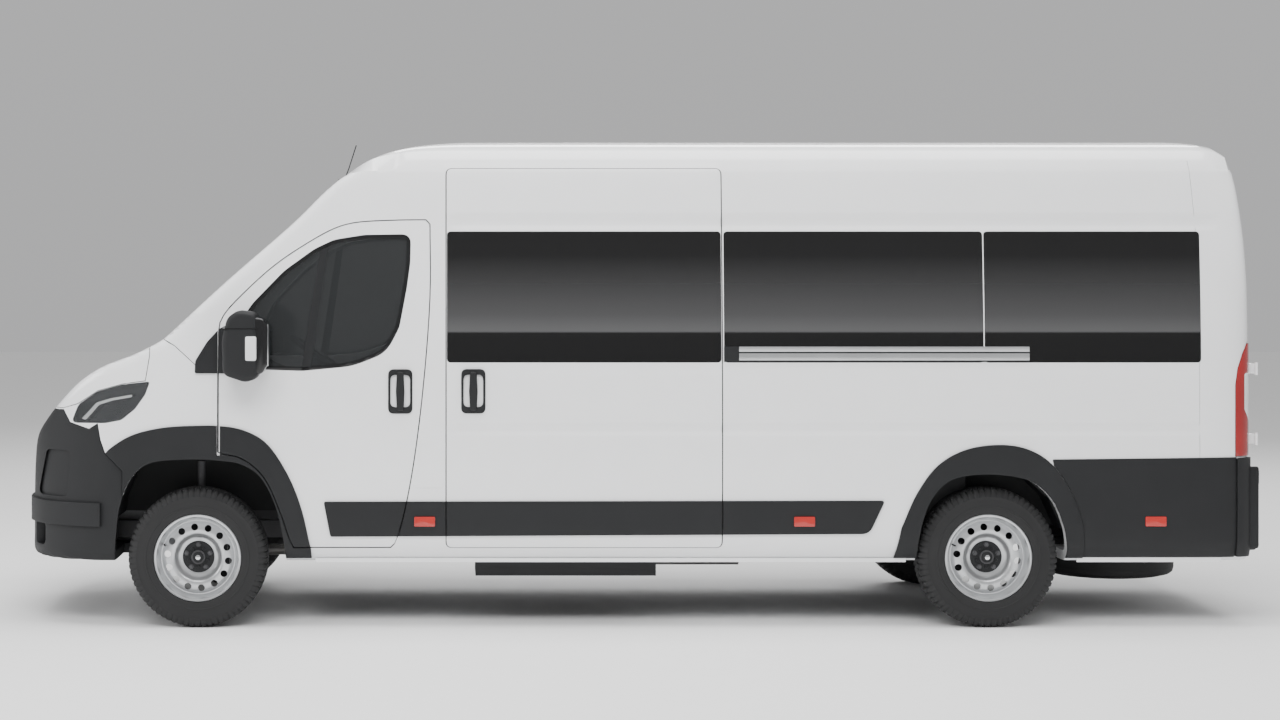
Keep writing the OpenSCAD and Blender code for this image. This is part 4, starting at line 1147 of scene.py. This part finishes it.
place(seal("slide_seal", slide_outline(0.0024), slide_outline(-0.0024)), "body", "trim")
door_seal = seal("door_seal", grown(DOOR, 0.0027), grown(DOOR, 0.0002),
    [slab(F(-0.16), F(2.0), -1.4, 1.4, 0.0, 3.0), arch_f])
pair("door_seal", door_seal, "trim")

# ---- rail, sill, antenna, wipers --------------------------------------------
RAIL = shell_between(0.004, -0.006, "rail_skin", False)
rail_bits = []
for z0, z1, mat in ((1.358, 1.366, TRIM), (1.366, 1.402, ALU), (1.402, 1.410, TRIM), (1.410, 1.436, ALU)):
    rail_bits.append(panel("rail_bit", RAIL, [side_prism(plane_rect(F(-2.76), F(-4.24), z0, z1))],
        mat=mat, edge=0.001))
rail_bits.append(panel("rail_end", RAIL, [side_prism(plane_rect(F(-2.684), F(-2.762), 1.358, 1.436))],
    mat=TRIM, edge=0.002))
place(join("sliding_rail", rail_bits), "body", "trim")
sill = box_object("sill_flange", (F(-3.62), HALF - 0.075, 0.332), (F(-0.60), HALF - 0.069, 0.352), PAINT)
sill_back = box_object("sill_back", (BACK + 0.20, HALF - 0.075, 0.332),
    (X_RA - 0.46, HALF - 0.069, 0.356), PAINT)
pair("sill", join("sill", [sill, sill_back]), "paint")
antenna = tube("antenna", [(F(-0.70), 0.25, 2.255), (F(-0.745), 0.25, 2.37), (F(-0.785), 0.25, 2.495)],
    0.003, TRIM)
foot = lathe("antenna_foot", [(0.0005, -0.02), (0.02, -0.02), (0.012, 0.02), (0.006, 0.05),
    (0.0005, 0.05)], 16, TRIM, closed=False)
foot.data.transform(Matrix.Rotation(math.radians(90), 4, "X"))
move(foot, F(-0.695), 0.25, 2.262)
place(join("roof_antenna", [antenna, foot]), "body", "trim")


def screen_z(x, up=0.0):
    """Height of the windscreen's middle at x, from the front axle, raised along z."""
    return 1.478 + (0.17 - x) * 0.926 + up


def drop(y):
    """How far the curved glass falls back towards its sides."""
    return 0.055 * (y / 0.7) ** 2


for k, (y0, y1) in enumerate(((0.66, 0.06), (-0.02, -0.60))):
    base = (F(0.19 - drop(y0)), y0, screen_z(0.19))
    tip = (F(0.075 - drop(y1)), y1, screen_z(0.075, 0.016))
    mid = (F(0.105 - drop((y0 + y1) / 2)), (y0 + y1) / 2, screen_z(0.105, 0.024))
    a_bar = tube("wiper_arm", [base, mid], 0.007, TRIM)
    blade = tube("wiper_blade", [(F(0.125 - drop(y0)), y0 - 0.02, screen_z(0.125, 0.012)), mid, tip],
        0.0055, RUBBER)
    place(join("wiper" + str(k), [a_bar, blade]), "body", "trim")

# ---- rear end --------------------------------------------------------------------------
STEP_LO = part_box("rear_bumper")[0]
step = box_object("rear_step", (STEP_LO.x + 0.004, -REAR_HALF - 0.005, 0.388),
    (X_DOOR + 0.03, REAR_HALF + 0.005, REAR_LOW - 0.018), TRIM, 0.016, 3)
treads = [box_object("tread", (STEP_LO.x + 0.014, y, REAR_LOW - 0.020),
    (X_DOOR - 0.004, y + 0.012, REAR_LOW - 0.0155), TRIM) for y in np.arange(-0.84, 0.85, 0.04)]
step = join("rear_bumper_step", [step] + treads)
place(step, "body", "trim", "rear_bumper")
corner_skin = shell_between(0.016, -0.03, "corner_skin", False)
corner_zone = prism(rounded([(BACK - 0.1, 0.868), (BACK + 0.133, 0.868), (BACK + 0.133, 0.36),
    (BACK - 0.1, 0.36)], [0, 0.01, 0.01, 0]), REAR_HALF + 0.010, 1.4)
corner = panel("rear_corner", corner_skin, [corner_zone], mat=TRIM, edge=0.008)
block = box_object("corner_block", (STEP_LO.x + 0.003, REAR_HALF + 0.012, 0.40),
    (X_DOOR + 0.05, HALF - 0.075, 0.82), TRIM, 0.022, 3)
nub = box_object("corner_nub", (STEP_LO.x + 0.001, REAR_HALF + 0.02, 0.73),
    (X_DOOR + 0.02, HALF - 0.085, 0.80), TRIM, 0.010, 2)
pair("rear_corner", join("rear_corner_parts", [corner, block, nub]), "trim")
for k, z in enumerate((0.93, 1.29)):
    barrel = lathe("barrel", [(0.0005, -0.032), (0.0085, -0.032), (0.0085, 0.032), (0.0005, 0.032)], 20,
        PAINT, closed=False)
    barrel.data.transform(Matrix.Rotation(math.radians(90), 4, "X"))
    move(barrel, BACK + 0.010, REAR_HALF + 0.005, z + 0.03)
    strap = box_object("strap", (BACK + 0.004, REAR_HALF - 0.10, z + 0.004),
        (BACK + 0.05, REAR_HALF - 0.002, z + 0.056), PAINT, 0.006, 2)
    pair("rear_hinge", join("hinge", [barrel, strap]), "paint", "back_door", mark=str(k))
cup = plate("rear_handle", plane_rect(-0.055, 0.055, 1.02, 1.23, 0.025), -0.012, 0.02, TRIM, 0.004)
grip = plate("rear_grip", plane_rect(-0.016, 0.016, 1.04, 1.21, 0.012), -0.022, -0.006, TRIM, 0.005, 3)
latch = join("rear_handle_parts", [cup, grip])
latch.data.transform(Matrix.Rotation(math.radians(-90), 4, "Z"))
move(latch, X_DOOR + 0.002, 0.075, 0)
place(latch, "left_back_door", "trim")
plate_r = box_object("rear_number_plate", (X_DOOR - 0.006, -0.26, 0.62), (X_DOOR + 0.004, 0.26, 0.73),
    WHITE_LENS)
boolean(plate_r, box_object("half", (BACK - 0.2, 0.004, 0.5), (X_DOOR + 0.1, 0.6, 0.9)), "INTERSECT")
move(plate_r, 0, 0.20, 0)
bevel(plate_r, 0.002, 1)
place(plate_r, "left_back_door", "trim")
stop = box_object("high_stop_lamp", (BACK + 0.118, -0.14, REAR_TOP + 0.028),
    (BACK + 0.16, 0.14, REAR_TOP + 0.058), RED, 0.006, 2)
place(stop, "body", "lamp_red")
plate_f = box_object("front_number_plate", (NOSE - 0.030, -0.26, 0.655), (NOSE - 0.018, 0.26, 0.765),
    WHITE_LENS, 0.002, 1)
place(plate_f, "body", "trim")
fog_parts = []
for sgn in (1, -1):
    o = lathe("fog", [(0.0005, 0.012), (0.030, 0.010), (0.042, 0.003), (0.048, 0.0), (0.048, -0.03),
        (0.0005, -0.03)], 32, CLEAR, closed=False)
    o.data.transform(Matrix.Rotation(math.radians(-90), 4, "Z"))
    fog_parts.append(move(o, NOSE - 0.16, sgn * 0.69, 0.46))
place(join("fog_lamps", fog_parts), "body", "lamp_clear")
fog_wall = panel("fog_wall", BEHIND, [front_rect(0.60, 0.78, 0.38, 0.54, 0.03)], mat=GLOSS_BLACK, edge=0)
pair("fog_wall", fog_wall, "trim")

# ---- seats -----------------------------------------------------------------------------
def pillow(name, lo, hi, mat, e=0.22, nu=28, nv=14):
    """A crowned, rounded cushion that fills the box."""
    c = (np.array(lo) + hi) / 2
    h = (np.array(hi) - lo) / 2
    verts, faces = [], []
    for i in range(nv + 1):
        phi = math.pi * (i / nv - 0.5)
        for j in range(nu):
            th = 2 * math.pi * j / nu
            power = lambda v: math.copysign(abs(v) ** e, v)
            x = power(math.cos(phi)) * power(math.cos(th))
            y = power(math.cos(phi)) * power(math.sin(th))
            z = power(math.sin(phi))
            verts.append((c[0] + h[0] * x, c[1] + h[1] * y, c[2] + h[2] * z))
    for i in range(nv):
        for j in range(nu):
            k = (j + 1) % nu
            faces.append((i * nu + j, i * nu + k, (i + 1) * nu + k, (i + 1) * nu + j))
    return new_object(name, verts, faces, mat)


def tilt(o, pivot, degrees):
    """Leans a piece back about a line across the vehicle."""
    m = Matrix.Translation(pivot) @ Matrix.Rotation(math.radians(degrees), 4,
        "Y") @ Matrix.Translation(-Vector(pivot))
    o.data.transform(m)
    return o


def seat(x, y, w):
    """One seat: its front edge at x, its middle at y."""
    low, parts_c, parts_b = w / 2 - 0.012, [], []
    parts_c.append(pillow("c", (F(x) - 0.46, y - low + 0.055, 0.865),
        (F(x) - 0.005, y + low - 0.055, 0.985), SEAT))
    for s in (1, -1):
        parts_c.append(pillow("c", (F(x) - 0.46, y + s * (low - 0.035) - 0.035, 0.86),
            (F(x) - 0.01, y + s * (low - 0.035) + 0.035, 1.0), SEAT))
    base = box_object("c", (F(x) - 0.41, y - low + 0.03, 0.562), (F(x) - 0.10, y + low - 0.03, 0.88),
        TRIM, 0.012, 2)
    parts_c.append(base)
    pivot = (F(x) - 0.50, y, 0.93)
    for lo, hi in (((-0.075, -low + 0.06, 0.0), (0.035, low - 0.06, 0.50)),
            ((-0.080, -low, 0.0), (0.055, -low + 0.07, 0.49)), ((-0.080, low - 0.07, 0.0),
            (0.055, low, 0.49)), ((-0.045, -0.13, 0.515), (0.045, 0.13, 0.69))):
        b = pillow("b", (pivot[0] + lo[0], y + lo[1], pivot[2] + lo[2]),
            (pivot[0] + hi[0], y + hi[1], pivot[2] + hi[2]), SEAT)
        parts_b.append(tilt(b, pivot, -10.0))
    for s in (-0.06, 0.06):
        post = tube("b", [(pivot[0], y + s, pivot[2] + 0.46), (pivot[0], y + s, pivot[2] + 0.55)], 0.006,
            CHROME)
        parts_b.append(tilt(post, pivot, -10.0))
    return parts_c, parts_b


bench_y = HALF - 0.055 - 0.065 - 0.43
cushions, backs = [], []
spots = [(-0.69, -0.44, 0.48), (-0.69, 0.19, 0.42), (-0.69, 0.61, 0.42)]
for i in range(4):
    x = -1.98 - 0.78 * i
    spots += [(x, -bench_y - 0.215, 0.43), (x, -bench_y + 0.215, 0.43)]
    if i:
        spots.append((x, bench_y + 0.215, 0.43))
for spot in spots:
    c, b = seat(*spot)
    cushions += c
    backs += b
cushion_o = join("seat_cushion_set", cushions)
back_o = join("seat_back_set", backs)
place(cushion_o, "body", "seat", "seat_cushions")
place(back_o, "body", "seat", "seat_backs")

# ---- pieces shown as the CAD has them ---------------------------------------------------
for node, mat in {"floor": TRIM, "chassis_frame": CHASSIS, "front_crossmember": CHASSIS, "bulkhead": DASH,
        "dashboard": DASH, "steering_wheel": TRIM, "engine": ENGINE, "front_subframe": CHASSIS,
        "left_knuckle": CHASSIS, "right_knuckle": CHASSIS, "rear_axle": CHASSIS, "fuel_tank": TRIM,
        "exhaust": EXHAUST, "spare_wheel": RUBBER, "wheel_liners": TRIM}.items():
    o = frame["nodes"][node]
    o.data.materials.clear()
    o.data.materials.append(mat)
    shade(o, 30)

# ---- clear away the cutting tools ---------------------------------------------------------
shown = {o.name for o in frame["nodes"].values()}
for o in list(bpy.data.objects):
    if o.type == "MESH" and o.name not in shown and "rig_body" not in o:
        discard(o)

# ---- floor, light and camera --------------------------------------------------------------
PALE = material("studio_floor", (0.86, 0.86, 0.86), 0.85, bump=0.05, bump_scale=40, vary=0.004, spec=0.2)
ground = new_object("studio_floor", [(-40, -40, 0), (40, -40, 0), (40, 40, 0), (-40, 40, 0)],
    [(0, 1, 2, 3)], PALE)


def area_light(name, where, target, power, width, height):
    data = bpy.data.lights.new(name, "AREA")
    data.shape = "RECTANGLE"
    data.size, data.size_y, data.energy = width, height, power
    o = bpy.data.objects.new(name, data)
    o.location = where
    o.rotation_euler = (Vector(target) - Vector(where)).to_track_quat("-Z", "Y").to_euler()
    bpy.context.scene.collection.objects.link(o)
    o.visible_glossy = name != "key"
    return o


area_light("key", (2.0, 10.0, 8.5), (0, 0, 1.0), 1150, 9, 4)
area_light("top", (0, 1.5, 8.5), (0, 0, 0), 900, 10, 5)
area_light("front_fill", (10.0, 3.0, 4.0), (0, 0, 1.2), 260, 5, 3)
area_light("back", (-2.0, -10.0, 7.5), (0, 0, 1.2), 620, 9, 4)
world = bpy.data.worlds.new("studio") if not bpy.context.scene.world else bpy.context.scene.world
bpy.context.scene.world = world
world.use_nodes = True
wn, wl = world.node_tree.nodes, world.node_tree.links
background = next(n for n in wn if n.type == "BACKGROUND")
where = wn.new("ShaderNodeTexCoord")
split = wn.new("ShaderNodeSeparateXYZ")
sky = wn.new("ShaderNodeValToRGB")
sky.color_ramp.elements[0].position = 0.46
sky.color_ramp.elements[0].color = (0.80, 0.80, 0.81, 1)
sky.color_ramp.elements[1].position = 0.80
sky.color_ramp.elements[1].color = (1.0, 1.0, 1.0, 1)
height = wn.new("ShaderNodeMapRange")
height.inputs["From Min"].default_value = -1.0
height.inputs["From Max"].default_value = 1.0
wl.new(where.outputs["Generated"], split.inputs["Vector"])
wl.new(split.outputs["Z"], height.inputs["Value"])
wl.new(height.outputs["Result"], sky.inputs["Fac"])
wl.new(sky.outputs["Color"], background.inputs["Color"])
background.inputs["Strength"].default_value = 0.62

cam_data = bpy.data.cameras.new("camera")
cam_data.sensor_width = 36.0
cam_data.lens = 73.9
cam_data.shift_x = 0.152
cam_data.shift_y = -0.077
cam_data.dof.use_dof = False
camera = bpy.data.objects.new("camera", cam_data)
camera.location = (F(-1.265), 14.4, 1.87)
camera.rotation_euler = (math.radians(90), 0, math.radians(180))
bpy.context.scene.collection.objects.link(camera)
bpy.context.scene.camera = camera
